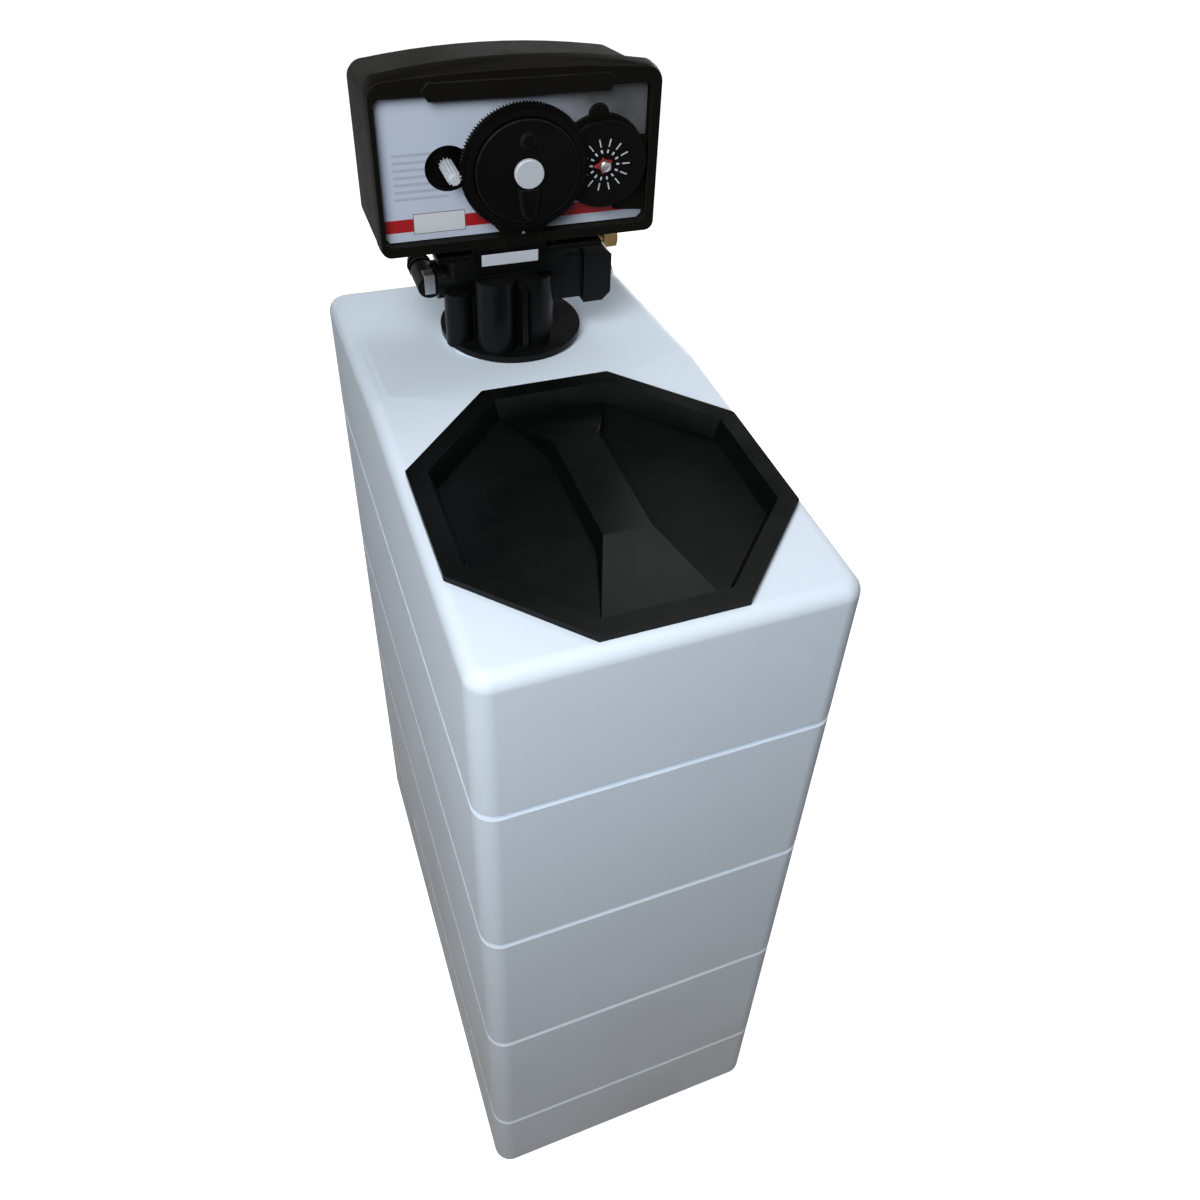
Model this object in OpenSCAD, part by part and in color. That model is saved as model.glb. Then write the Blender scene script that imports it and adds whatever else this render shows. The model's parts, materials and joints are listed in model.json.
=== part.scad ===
// Cabinet water softener with a mechanical timer valve.
// Millimetres, +Z up, the front faces -Y, the origin is the middle of the base.

/* [Cabinet] */
// Width of the cabinet from side to side
cab_w = 230; // [226:1:250]
// Depth of the cabinet from front to back
cab_d = 432; // [428:1:450]
// Height of the level part of the top
cab_h = 620; // [600:1:650]
// Wall of the cabinet
cab_wall = 6; // [5:0.5:7]
// Corner radius in plan
cab_corner = 14; // [12:0.5:17]
// Radius of the edge round the top
cab_edge = 10; // [8:0.5:11]
// Height of a groove
groove_h = 5; // [4:0.5:8]
// Depth of a groove
groove_depth = 3.5; // [2:0.5:4]
// Height of the lowest groove above the floor
groove_first = 76; // [60:1:90]
// Step from groove to groove
groove_pitch = 142; // [130:1:145]
// Length of the level part of the top
top_level = 252; // [248:1:256]
// Fall of the rear part of the top
top_fall = 18; // [12:1:22]

/* [Lid] */
// Middle of the lid behind the front face
lid_back = 124; // [122:0.5:126]
// Half width of the lid
lid_half_x = 108; // [100:0.5:109]
// Half depth of the lid
lid_half_y = 115.5; // [108:0.5:117]
// Half length of its front and rear side
lid_cut_x = 43.5; // [38:0.5:48]
// Half length of its left and right side
lid_cut_y = 47; // [42:0.5:52]
// Width of the rim that rests on the cabinet
lid_rim = 8; // [6:0.5:10]
// Height of the rim
lid_rise = 4; // [3:0.5:6]
// Wall of the lid
lid_wall = 3; // [2:0.5:4]
// Depth of the dish below the top of the rim
lid_depth = 13; // [11:0.5:18]
// How far the dish narrows towards its floor
lid_draft = 5; // [3:0.5:8]
// Gap between dish and opening
lid_gap = 1; // [0.6:0.1:2]
// Width of the grip
grip_w = 30; // [24:1:40]
// Length of the level top of the grip
grip_l = 93; // [80:1:110]
// Step of the grip behind the middle of the lid
grip_shift = 5.5; // [0:0.5:10]
// Drop of the grip below the top of the rim
grip_drop = 1; // [0.5:0.5:3]

/* [Tank] */
// Axis of tank and valve behind the front face
valve_back = 322; // [320:0.5:324]
// Radius of the tank
tank_r = 91.5; // [88:0.5:92.5]
// Wall of the tank
tank_wall = 4; // [3:0.5:6]
// Height of each domed end
dome_h = 46; // [40:1:52]
// Gap between the floor and the lower dome
dome_lift = 8; // [5:0.5:12]
// Outer radius of the tank neck
neck_r = 42; // [39:0.5:43]
// Bore radius of the tank neck
neck_bore = 31.3; // [30:0.1:33]
// Radius of the riser tube
riser_r = 13.35; // [12:0.05:14]
// Wall of the riser tube
riser_wall = 2.4; // [1.8:0.1:3]
// Height of the resin bed above the floor
resin_top = 400; // [300:5:460]

/* [Valve] */
// Radius of the base flange
flange_r = 49.5; // [47:0.5:52]
// Thickness of the base flange
flange_t = 4.5; // [3:0.5:6]
// Drop of the flange underside below the level top
seat_drop = 1.5; // [0.5:0.5:3]
// Radius of the round core of the body
core_r = 30; // [28:0.5:32]
// Radius of the piston bore
bore_r = 15; // [14:0.25:16]
// Radius of the piston
piston_r = 11; // [10:0.25:11.5]
// Radius of the piston rod
rod_r = 4; // [3:0.25:5]
// Travel of the piston
stroke = 22; // [18:1:24]
// Radius of the drain stub
drain_r = 13; // [11:0.5:14]
// Outer radius of the inlet and outlet
port_r = 13.2; // [12:0.1:14]
// Bore radius of the inlet and outlet
port_bore = 9.5; // [8:0.25:10.5]
// Half distance between inlet and outlet
port_x = 22; // [20:0.5:24]
// Bore radius of the brine connection
brine_bore = 4.8; // [4.3:0.05:5.2]

/* [Head] */
// Front face of the bezel before the valve axis
bezel_fore = 35; // [34:0.5:36]
// Bottom of the bezel over the level top
head_rise = 80; // [79:0.5:82]
// Half width of the bezel
bezel_half = 91.5; // [91:0.5:93]
// Height of the bezel at its ends
bezel_h = 108; // [106:0.5:110]
// Crown of the top edge
bezel_crown = 8; // [4:0.5:10]
// Crown of the front edge, under the rounded top
front_crown = 4.3; // [3.5:0.1:5]
// Corner radius of the bezel
bezel_corner = 10; // [6:0.5:12]
// Depth of the bezel
bezel_depth = 14; // [13:0.5:14]
// Depth of the label behind the bezel front
label_depth = 6; // [5.5:0.25:6.5]
// Thickness of the label plate
label_t = 0.6; // [0.4:0.1:0.8]
// Half width of the window in the bezel
window_half = 84; // [83:0.5:85]
// Left edge of the window, which reaches further than the right one
window_left = 87.5; // [87:0.25:88]
// Bottom bar of the bezel
bar_low = 7; // [6:0.5:8]
// Height of the window
window_h = 92; // [90:0.5:93]
// Right side of the hood
hood_right = 82; // [81.5:0.5:82]
// Depth of the hood
hood_depth = 71; // [70:0.5:76]
// Wall of the hood
hood_wall = 3; // [2:0.25:3.5]

/* [Timer] */
// Axis of the dial above the bottom of the bezel
dial_up = 54; // [53:0.5:55]
// Teeth of the hour gear
hour_teeth = 120; // [120:1:120]
// Outer radius of the hour gear
hour_r = 41; // [40.5:0.1:41.5]
// Thickness of the hour gear
hour_t = 4; // [3:0.5:5]
// Teeth of the motor pinion
pin_teeth = 12; // [12:1:12]
// Radius of the manual knob
knob_r = 33; // [30:0.5:33.5]
// Radius of the white cap
cap_r = 9.3; // [8:0.1:10]
// Radius of the skip wheel
skip_r = 28.5; // [26:0.5:29]
// Place of the skip wheel, right of the dial
skip_x = 53; // [52:0.5:54]
// Teeth of the main gear
main_teeth = 60; // [60:1:60]
// Teeth of the drive pinion
drive_teeth = 14; // [14:1:14]
// Tooth module of the main gear
main_mod = 1; // [0.95:0.05:1.05]
// Radius of the motor case
motor_r = 21.5; // [20:0.5:22]

/* [Brine] */
// Outer radius of the brine well
well_r = 20.5; // [19:0.25:20.75]
// Wall of the brine well
well_wall = 2; // [1.5:0.25:2.5]
// Drop of the brine well below the level top
well_drop = 100; // [94:1:140]
// Gap between tank and well cap
well_gap = 0.6; // [0.4:0.1:3]
// Radius of the float
float_r = 8; // [7:0.25:8.5]
// Height of the float above the cabinet floor
float_low = 240; // [120:1:300]
// Length of the float
float_len = 80; // [60:1:90]
// Travel of the float
float_travel = 60; // [40:1:80]

/* [Fits] */
// Running clearance of shafts
run = 0.08; // [0.05:0.01:0.1]
// Gap between pieces that lie still in one another
still = 0.05; // [0.03:0.01:0.1]
// Gap between pieces that pass one another
pass = 0.4; // [0.3:0.05:0.6]

/* [Hidden] */
$fn = 64;

front_y = -cab_d / 2;
vy = front_y + valve_back;
corner_x = cab_w / 2 - cab_corner;
corner_y = cab_d / 2 - cab_corner;
top_groove = groove_first + 3 * groove_pitch;
ridge_y = front_y + top_level;
seat_z = cab_h - seat_drop;
lid_y = front_y + lid_back;

neck_seal_h = 4;
shoulder_h = 18;
neck_top = seat_z - shoulder_h - neck_seal_h;
low_z = cab_wall + dome_lift + dome_h;
high_z = neck_top - 66;
shoulder_r = neck_r - 1.5;
skirt_r = neck_bore - 0.3;
skirt_bottom = neck_top - 24;
strainer_z = cab_wall + dome_lift + tank_wall + 2.2;
strainer_h = 50;
strainer_r = 24;

deck_z = cab_h + 70;
deck_t = 14;
deck_left = -46;
deck_screws = [[-38, vy - 18], [24, vy - 20]];
lobe_top = deck_z - deck_t - 1;
stack_z = cab_h + 20;
seal_t = 3.4;
spacer_t = 7.2;
stack_h = 5 * seal_t + 4 * spacer_t + 10 * still;
piston_z = stack_z + 1;
piston_len = stack_h - stroke - 2;
plug_z = stack_z + stack_h + still;
port_z = cab_h + 35;
side_z = cab_h + 44;
rear_y = vy + 44;
yoke_t = 12;

head_z = cab_h + head_rise;
yb = vy - bezel_fore;
y_label = yb + label_depth;
y_plate = y_label + label_t;
plate_t = 3;
y_back = yb + bezel_depth;
dial_z = head_z + dial_up;
win_z0 = head_z + bar_low;
win_z1 = win_z0 + window_h;
hood_y0 = y_back + 1;
hood_y1 = yb + bezel_depth + hood_depth;

hour_y0 = yb - 7.8;
hour_y1 = hour_y0 + hour_t;
hub_r = 9;
shaft_r = 4;
hour_mod = 2 * hour_r / (hour_teeth + 1.6);
mesh_gap = 0.2;
pin_dist = hour_mod * (hour_teeth + pin_teeth) / 2 + mesh_gap;
pin_ang = 183;
pin_x = pin_dist * cos(pin_ang);
pin_z = dial_z + pin_dist * sin(pin_ang);
knob_y1 = hour_y0 - 0.9;
knob_y0 = knob_y1 - 4.3;
skip_z = dial_z - 4;
skip_y0 = hour_y1 + 0.5;
skip_y1 = skip_y0 + 3;
post_r = 4;
island_r = skip_r + 1.5;

crank = stroke / 2;
main_y0 = vy - 11;
main_y1 = vy - 6.5;
plate_y0 = vy + 8;
plate_y1 = plate_y0 + 3;
drive_dist = main_mod * (main_teeth + drive_teeth) / 2 + mesh_gap;
drive_ang = -19;
drive_x = drive_dist * cos(drive_ang);
drive_z = dial_z + drive_dist * sin(drive_ang);
motor_x = pin_x - 14;
hinge_x = bezel_half - 5.5;
hinge_y = y_back + 4;
pin_r = 2;
lug_low = head_z + 8;
lug_high = head_z + bezel_h - 26;
lug_h = 8;
base_t = 4;
base_half = 56;
plate_left = -bezel_half + 4;
plate_right = hood_right - 5;
plate_top = head_z + bezel_h - 20;
lug_in = plate_right - 5;
apron_x0 = -34;
apron_x1 = 16;
post_x = [-60, 52];
post_z = dial_z + 22;
hood_post_r = 5;
base_y0 = vy - 31;
apron_y0 = yb + 0.5;
stem_x = 38;
stem_y = vy + 2;
stem_r = 3;
inj_x0 = core_r + 2.2;
inj_x1 = inj_x0 + 14;
cap_x1 = inj_x1 + 20;
fit_x = inj_x1 + 12;
fit_y = vy + 24;
fit_z = side_z + 4;
elbow_x = -58.4;
clip_x0 = -62;
clip_w = 7;
cap_lip = 2;
well_h = cab_h - cab_wall - well_drop;
well_x = cab_w / 2 - cab_wall - 6.5 - well_r;
well_far = tank_r + well_r + cap_lip + well_gap;
well_y = vy - sqrt(well_far * well_far - well_x * well_x);
pipe_r = 4.8;
pipe_x = well_x - 7;
rod_x = well_x + 8;
float_rod_r = 1.6;
rod_over = 72;
over_x = -60;
over_z = 430;
over_r = 8;
plan_back = cab_d / 2;

// Outline and solid helpers

module plan(inset) {
  r = cab_corner - inset;
  square([2 * corner_x, 2 * (corner_y + r)], center = true);
  square([2 * (corner_x + r), 2 * corner_y], center = true);
  for (sx = [-1, 1], sy = [-1, 1])
    translate([sx * corner_x, sy * corner_y])
      circle(r = r);
}

module top_block(inset, z0) {
  stations = [[-corner_y, cab_h], [ridge_y, cab_h], [corner_y, cab_h - top_fall]];
  hull()
    for (sx = [-1, 1], s = stations, a = [0 : 15 : 90])
      translate([sx * corner_x, s[0], z0])
        cylinder(r = cab_corner - cab_edge + (cab_edge - inset) * cos(a),
          h = s[1] - cab_edge + (cab_edge - inset) * sin(a) - z0, $fn = 32);
}

// Corner of the eight-sided lid outline, moved in by d
lid_v = [lid_half_y - lid_cut_y, lid_half_x - lid_cut_x];
lid_n = lid_v / norm(lid_v);
lid_c = lid_n[0] * lid_cut_x + lid_n[1] * lid_half_y;
function oct_x(d) = (lid_c - d - lid_n[1] * (lid_half_y - d)) / lid_n[0];
function oct_y(d) = (lid_c - d - lid_n[0] * (lid_half_x - d)) / lid_n[1];
lid_turn = [[1, 1, 0], [1, 1, 1], [-1, 1, 1], [-1, 1, 0], [-1, -1, 0], [-1, -1, 1], [1, -1, 1], [1, -1, 0]];
function oct(d) = [for (q = lid_turn)
  q[2] == 0 ? [q[0] * (lid_half_x - d), q[1] * oct_y(d)] : [q[0] * oct_x(d), q[1] * (lid_half_y - d)]];

module oct_taper(d0, z0, d1, z1)
  hull() {
    translate([0, lid_y, z0])
      linear_extrude(0.01)
        polygon(oct(d0));
    translate([0, lid_y, z1 - 0.01])
      linear_extrude(0.01)
        polygon(oct(d1));
  }

function dome(a, b, z, t) = [a * cos(t), z + b * sin(t)];

module turn(x, y)
  translate([x, y, 0])
    rotate_extrude()
      children();

module pin_along_z(x, y, r, z0, z1)
  translate([x, y, z0])
    cylinder(r = r, h = z1 - z0);

module pin_along_y(x, z, r, y0, y1)
  translate([x, y1, z])
    rotate([90, 0, 0])
      cylinder(r = r, h = y1 - y0);

module pin_along_x(y, z, r, x0, x1)
  translate([x0, y, z])
    rotate([0, 90, 0])
      cylinder(r = r, h = x1 - x0);

module block(x0, x1, y0, y1, z0, z1)
  translate([x0, y0, z0])
    cube([x1 - x0, y1 - y0, z1 - z0]);

// A flat shape drawn in x and z, from y0 to y1
module upright(y0, y1)
  translate([0, y1, 0])
    rotate([90, 0, 0])
      linear_extrude(y1 - y0)
        children();

// Head outline: half circle corners and a crowned top
function crown(x, h, rise) = h + rise * (1 - pow(x / bezel_half, 2));
function head_line(x0, x1, z0, h, c, rise = bezel_crown) = let (b = 0.6 * c) concat(
  [for (a = [180 : 15 : 270]) [x0 + b + b * cos(a), z0 + b + b * sin(a)]],
  [for (a = [270 : 15 : 360]) [x1 - b + b * cos(a), z0 + b + b * sin(a)]],
  [for (a = [0 : 15 : 75]) [x1 - c + c * cos(a), z0 + crown(x1 - c, h, rise) - c + c * sin(a)]],
  [for (k = [0 : 10]) let (x = x1 - c + (x0 - x1 + 2 * c) * k / 10) [x, z0 + crown(x, h, rise)]],
  [for (a = [105 : 15 : 180]) [x0 + c + c * cos(a), z0 + crown(x0 + c, h, rise) - c + c * sin(a)]]);

function gear_line(n, m, phase) = [for (i = [0 : n - 1], k = [0 : 3])
  let (r = m * n / 2 + (k == 1 || k == 2 ? 0.8 : -1.0) * m,
    a = phase + (i + [-0.29, -0.11, 0.11, 0.29][k]) * 360 / n)
  [r * cos(a), r * sin(a)]];

module gear(n, m, phase, x, z, y0, y1)
  translate([x, 0, z])
    upright(y0, y1)
      polygon(gear_line(n, m, phase));

module island(grow) {
  translate([skip_x, skip_z])
    circle(r = island_r + grow);
  translate([skip_x - 1.5, skip_z + skip_r + 1])
    circle(r = 6.5 + grow);
  polygon([[skip_x + 4 - grow, skip_z - 26], [skip_x + 12 - grow, skip_z - 35 - grow],
    [window_half + 1, skip_z - 37 - grow], [window_half + 1, skip_z + 14 + grow],
    [skip_x + 10, skip_z + 14 + grow]]);
}

// Cabinet group

module cabinet_shell()
  color("white")
    difference() {
      union() {
        linear_extrude(top_groove + groove_h + 4)
          plan(groove_depth);
        linear_extrude(groove_first)
          plan(0);
        for (i = [0 : 2])
          translate([0, 0, groove_first + i * groove_pitch + groove_h])
            linear_extrude(groove_pitch - groove_h)
              plan(0);
        top_block(0, top_groove + groove_h);
        pin_along_z(0, vy, flange_r - 2, seat_z - 24, seat_z);
      }
      translate([0, 0, cab_wall])
        linear_extrude(top_groove - cab_wall)
          plan(cab_wall);
      top_block(cab_wall + 0.3, top_groove - 1);
      translate([0, lid_y, cab_h - 40])
        linear_extrude(80)
          polygon(oct(lid_rim));
      pin_along_z(0, vy, shoulder_r + 2, seat_z - 60, seat_z + 1);
      pin_along_y(over_x, over_z, over_r + still, plan_back - cab_wall - 1, plan_back + 1);
    }

module salt_lid()
  color([0.05, 0.05, 0.055])
    difference() {
      union() {
        difference() {
          union() {
            translate([0, lid_y, cab_h])
              linear_extrude(lid_rise)
                polygon(oct(0));
            oct_taper(lid_rim + lid_gap + lid_draft, cab_h + lid_rise - lid_depth - lid_wall,
              lid_rim + lid_gap, cab_h + 0.5);
          }
          oct_taper(lid_rim + lid_gap + lid_wall + lid_draft, cab_h + lid_rise - lid_depth,
            lid_rim + lid_gap + lid_wall, cab_h + lid_rise + 0.1);
        }
        grip();
      }
      block(-grip_w / 2 + lid_wall, grip_w / 2 - lid_wall,
        lid_y + grip_shift - grip_l / 2 + lid_wall, lid_y + grip_shift + grip_l / 2 - lid_wall,
        cab_h + lid_rise - lid_depth - lid_wall - 1, cab_h + lid_rise - grip_drop - lid_wall);
    }

// Level ridge between two ramps that fan out to the front and to the rear
module grip() {
  inner = lid_rim + lid_gap + lid_wall + lid_draft;
  z0 = cab_h + lid_rise - lid_depth - 0.5;
  z1 = cab_h + lid_rise - grip_drop;
  y0 = lid_y + grip_shift - grip_l / 2;
  y1 = lid_y + grip_shift + grip_l / 2;
  hull() {
    block(-grip_w / 2, grip_w / 2, y0, y1, z1 - 0.2, z1);
    block(-grip_w / 2 - 4, grip_w / 2 + 4, y0, y1, z0, z0 + 0.1);
  }
  for (end = [[y0, lid_y - lid_half_y + inner], [y1, lid_y + lid_half_y - inner]])
    hull() {
      block(-grip_w / 2, grip_w / 2, end[0] - 0.1, end[0] + 0.1, z1 - 0.2, z1);
      block(-grip_w / 2 - 4, grip_w / 2 + 4, end[0] - 0.1, end[0] + 0.1, z0, z0 + 0.1);
      block(-oct_x(inner), oct_x(inner), end[1] - 0.1, end[1] + 0.1, z0, z0 + 0.6);
    }
}

module overflow_elbow()
  color([0.1, 0.1, 0.1])
    difference() {
      union() {
        pin_along_y(over_x, over_z, over_r, plan_back - 20, plan_back + 12);
        pin_along_y(over_x, over_z, over_r + 5, plan_back, plan_back + 3);
        pin_along_z(over_x, plan_back + 11, 7, over_z - 30, over_z + 10);
      }
      pin_along_y(over_x, over_z, 5, plan_back - 21, plan_back + 13);
      pin_along_z(over_x, plan_back + 11, 4.5, over_z - 31, over_z + 1);
    }

module overflow_nut()
  color([0.1, 0.1, 0.1])
    difference() {
      translate([over_x, plan_back - cab_wall - still, over_z])
        rotate([90, 0, 0])
          cylinder(r = over_r + 6, h = 6, $fn = 6);
      pin_along_y(over_x, over_z, over_r + still, plan_back - 20, plan_back);
    }

// Brine group

module brine_well()
  color([0.9, 0.9, 0.88])
    difference() {
      pin_along_z(well_x, well_y, well_r, cab_wall, cab_wall + well_h);
      pin_along_z(well_x, well_y, well_r - well_wall, cab_wall + 3, cab_wall + well_h + 1);
      for (k = [0 : 5])
        block(well_x - well_r - 1, well_x + well_r + 1, well_y - 1.5, well_y + 1.5,
          cab_wall + 10 + k * 14, cab_wall + 18 + k * 14);
    }

module well_cap()
  color([0.9, 0.9, 0.88])
    difference() {
      union() {
        pin_along_z(well_x, well_y, well_r + cap_lip, cab_wall + well_h, cab_wall + well_h + 4);
        pin_along_z(well_x, well_y, well_r - well_wall - still,
          cab_wall + well_h - 8, cab_wall + well_h + 1);
      }
      pin_along_z(pipe_x, well_y, pipe_r + still, cab_wall, cab_wall + well_h + 5);
      pin_along_z(rod_x, well_y, float_rod_r + run, cab_wall, cab_wall + well_h + 5);
    }

module pickup_pipe()
  color([0.85, 0.85, 0.85])
    difference() {
      pin_along_z(pipe_x, well_y, pipe_r, cab_wall + 40, cab_wall + well_h + 8);
      pin_along_z(pipe_x, well_y, pipe_r - 1.4, cab_wall + 39, cab_wall + well_h + 9);
    }

module air_check()
  color([0.2, 0.35, 0.55])
    difference() {
      union() {
        pin_along_z(pipe_x, well_y, pipe_r + 3, cab_wall + 3, cab_wall + 52);
        pin_along_z(pipe_x, well_y, pipe_r + 5, cab_wall + 12, cab_wall + 34);
      }
      pin_along_z(pipe_x, well_y, pipe_r + still, cab_wall + 40, cab_wall + 53);
      pin_along_z(pipe_x, well_y, pipe_r - 1.4, cab_wall + 8, cab_wall + 53);
      block(pipe_x - 20, pipe_x + 20, well_y - 1.5, well_y + 1.5, cab_wall + 5, cab_wall + 11);
    }

module safety_valve()
  color([0.2, 0.35, 0.55])
    difference() {
      pin_along_z(well_x, well_y, well_r - well_wall - pass,
        cab_wall + well_h - 50, cab_wall + well_h - 14);
      pin_along_z(pipe_x, well_y, pipe_r + still, cab_wall, cab_wall + well_h);
      pin_along_z(rod_x, well_y, float_rod_r + run, cab_wall, cab_wall + well_h);
    }

module float_rod()
  color([0.75, 0.76, 0.78])
    pin_along_z(rod_x, well_y, float_rod_r,
      cab_wall + float_low - 10, cab_wall + well_h + rod_over - float_travel);

module brine_float()
  color([0.95, 0.95, 0.95])
    difference() {
      pin_along_z(rod_x, well_y, float_r, cab_wall + float_low, cab_wall + float_low + float_len);
      pin_along_z(rod_x, well_y, float_rod_r + still,
        cab_wall + float_low - 1, cab_wall + float_low + float_len + 1);
    }

// Tank group

module resin_tank()
  color([0.3, 0.4, 0.5])
    turn(0, vy)
      polygon(concat(
        [for (t = [-90 : 7.5 : 0]) dome(tank_r, dome_h, low_z, t)],
        [for (t = [0 : 7.5 : acos(neck_r / tank_r)]) dome(tank_r, dome_h, high_z, t)],
        [[neck_r, high_z + dome_h * sin(acos(neck_r / tank_r))], [neck_r, neck_top], [neck_bore, neck_top]],
        [for (t = [acos(neck_bore / (tank_r - tank_wall)) : -7.5 : 0])
          dome(tank_r - tank_wall, dome_h - tank_wall, high_z, t)],
        [for (t = [0 : -7.5 : -90]) dome(tank_r - tank_wall, dome_h - tank_wall, low_z, t)]));

module tank_foot()
  color([0.08, 0.08, 0.08])
    turn(0, vy)
      polygon(concat(
        [[tank_r * cos(37.5), cab_wall], [tank_r * cos(15), cab_wall]],
        [for (t = [-15 : -7.5 : -37.5]) dome(tank_r, dome_h, low_z - 0.3, t)]));

module resin_bed()
  color([0.75, 0.5, 0.2])
    turn(0, vy)
      polygon(concat(
        [[strainer_r + 0.3, low_z - (dome_h - tank_wall - 0.3) * sin(67.5)]],
        [for (t = [-67.5 : 7.5 : 0]) dome(tank_r - tank_wall - 0.3, dome_h - tank_wall - 0.3, low_z, t)],
        [[tank_r - tank_wall - 0.3, resin_top], [riser_r + 0.3, resin_top],
          [riser_r + 0.3, strainer_z + strainer_h + 0.3],
          [strainer_r + 0.3, strainer_z + strainer_h + 0.3]]));

module riser_tube()
  color([0.7, 0.7, 0.72])
    difference() {
      pin_along_z(0, vy, riser_r, strainer_z + 20, seat_z + 12);
      pin_along_z(0, vy, riser_r - riser_wall, strainer_z + 19, seat_z + 13);
    }

module lower_strainer()
  color([0.15, 0.15, 0.16])
    difference() {
      pin_along_z(0, vy, strainer_r, strainer_z, strainer_z + strainer_h);
      pin_along_z(0, vy, riser_r + still, strainer_z + 20, strainer_z + strainer_h + 1);
      pin_along_z(0, vy, riser_r - riser_wall, strainer_z + 4, strainer_z + 21);
      for (k = [0 : 3])
        translate([0, vy, strainer_z + 8])
          rotate([0, 0, 45 * k])
            cube([2 * strainer_r + 2, 1.2, 8], center = true);
    }

module upper_strainer()
  color([0.15, 0.15, 0.16])
    turn(0, vy)
      polygon([[riser_r + 0.3, skirt_bottom - 30], [riser_r + 4, skirt_bottom - 34],
        [skirt_r - 3, skirt_bottom - 26], [skirt_r - 1, skirt_bottom],
        [skirt_r - 6, skirt_bottom], [skirt_r - 8, skirt_bottom - 22],
        [riser_r + 6, skirt_bottom - 28], [riser_r + 0.3, skirt_bottom - 24]]);

// Valve group

module valve_body()
  color([0.06, 0.06, 0.065])
    difference() {
      union() {
        pin_along_z(0, vy, flange_r, seat_z, seat_z + flange_t);
        pin_along_z(0, vy, shoulder_r, seat_z - shoulder_h, seat_z + 1);
        pin_along_z(0, vy, skirt_r, skirt_bottom, seat_z);
        pin_along_z(0, vy, core_r, seat_z, deck_z);
        pin_along_z(-18, vy - 28, 14, seat_z + 1, lobe_top);
        pin_along_z(10, vy - 23, 13, seat_z + 1, lobe_top - 2);
        pin_along_z(-40, vy - 13, 9.5, seat_z + 1, lobe_top - 15);
        block(-3.5, 0.5, vy - 42.5, vy - 10, seat_z + 1, lobe_top - 6);
        block(-42, -10, vy - 18, vy + 6, seat_z + 1, lobe_top - 18);
        block(deck_left, core_r, base_y0, vy + 34, deck_z - deck_t, deck_z);
        pin_along_x(vy - 2, side_z, drain_r, -50, 0);
        block(12, core_r + 2, vy - 20, vy + 12, side_z - 17, side_z + 18);
        block(-40, 40, vy + 12, rear_y, port_z - 15, port_z + 16);
      }
      pin_along_z(0, vy, skirt_r - 5, skirt_bottom - 1, seat_z - 8);
      pin_along_z(0, vy, riser_r + still, seat_z - 9, seat_z + 12 + still);
      pin_along_z(0, vy, riser_r - riser_wall, seat_z + 11, stack_z + 1);
      pin_along_z(0, vy, bore_r, stack_z, deck_z + 1);
      pin_along_x(vy - 2, side_z, 8, -51, -8);
      pin_along_x(vy - 12, side_z - 8, 4, 8, core_r + 3);
      for (sx = [-1, 1])
        pin_along_y(sx * port_x, port_z, port_bore, vy - 4, rear_y + 1);
      for (sx = [-1, 1])
        pin_along_x(vy + 34, port_z, 1.95, sx > 0 ? 33 : -41, sx > 0 ? 41 : -33);
      for (p = deck_screws)
        pin_along_z(p[0], p[1], 2 + still, deck_z - 10, deck_z + 1);
    }

module neck_seal()
  color([0.03, 0.03, 0.03])
    turn(0, vy)
      translate([(neck_bore + shoulder_r) / 2 + 1, neck_top + neck_seal_h / 2])
        circle(r = neck_seal_h / 2, $fn = 32);

module piston()
  color([0.85, 0.8, 0.65])
    difference() {
      turn(0, vy)
        polygon([[0, piston_z], [piston_r, piston_z],
          [piston_r, piston_z + 6], [piston_r - 3, piston_z + 8],
          [piston_r - 3, piston_z + piston_len - 8], [piston_r, piston_z + piston_len - 6],
          [piston_r, piston_z + piston_len], [0, piston_z + piston_len]]);
      pin_along_z(0, vy, rod_r + still, piston_z + piston_len - 10, piston_z + piston_len + 1);
    }

module piston_rod()
  color([0.75, 0.76, 0.78])
    pin_along_z(0, vy, rod_r, piston_z + piston_len - 10 + still, deck_z + 22);

// Slotted plate that the crank pin lifts; its upright window clears the axle of the main gear
module rod_yoke()
  color([0.8, 0.78, 0.7])
    difference() {
      union() {
        pin_along_z(0, vy, rod_r + 1.8, deck_z + 11, deck_z + 25);
        block(-22, 22, vy - 2, vy + 2, deck_z + 24, dial_z + 11);
      }
      pin_along_z(0, vy, rod_r + still, deck_z + 10, deck_z + 22 + still);
      block(-crank - 4, crank + 4, vy - 3, vy + 3, dial_z - crank - 3.4, dial_z - crank + 3.4);
      block(-4.7, 4.7, vy - 3, vy + 3, dial_z - 2 * crank - 4.7, dial_z + 4.7);
    }

module piston_seals()
  color([0.1, 0.25, 0.5])
    for (k = [0 : 4])
      translate([0, vy, stack_z + still + k * (seal_t + spacer_t + 2 * still)])
        difference() {
          cylinder(r = bore_r - still, h = seal_t);
          translate([0, 0, -1])
            cylinder(r = piston_r + 0.3, h = seal_t + 2);
        }

module seal_spacers()
  color([0.88, 0.88, 0.84])
    for (k = [0 : 3])
      translate([0, vy, stack_z + 2 * still + seal_t + k * (seal_t + spacer_t + 2 * still)])
        difference() {
          cylinder(r = bore_r - still, h = spacer_t);
          translate([0, 0, -1])
            cylinder(r = piston_r + 1.6, h = spacer_t + 2);
          for (a = [0, 60, 120])
            rotate([0, 0, a])
              cube([3 * bore_r, 4, 2 * spacer_t - 4], center = true);
        }

module end_plug()
  color([0.88, 0.88, 0.84])
    difference() {
      union() {
        pin_along_z(0, vy, bore_r - still, plug_z, deck_z + 1);
        pin_along_z(0, vy, bore_r + 4, deck_z, deck_z + 4);
      }
      pin_along_z(0, vy, rod_r + run, plug_z - 1, deck_z + 5);
    }

// Injector and brine valve, right of the valve

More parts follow.
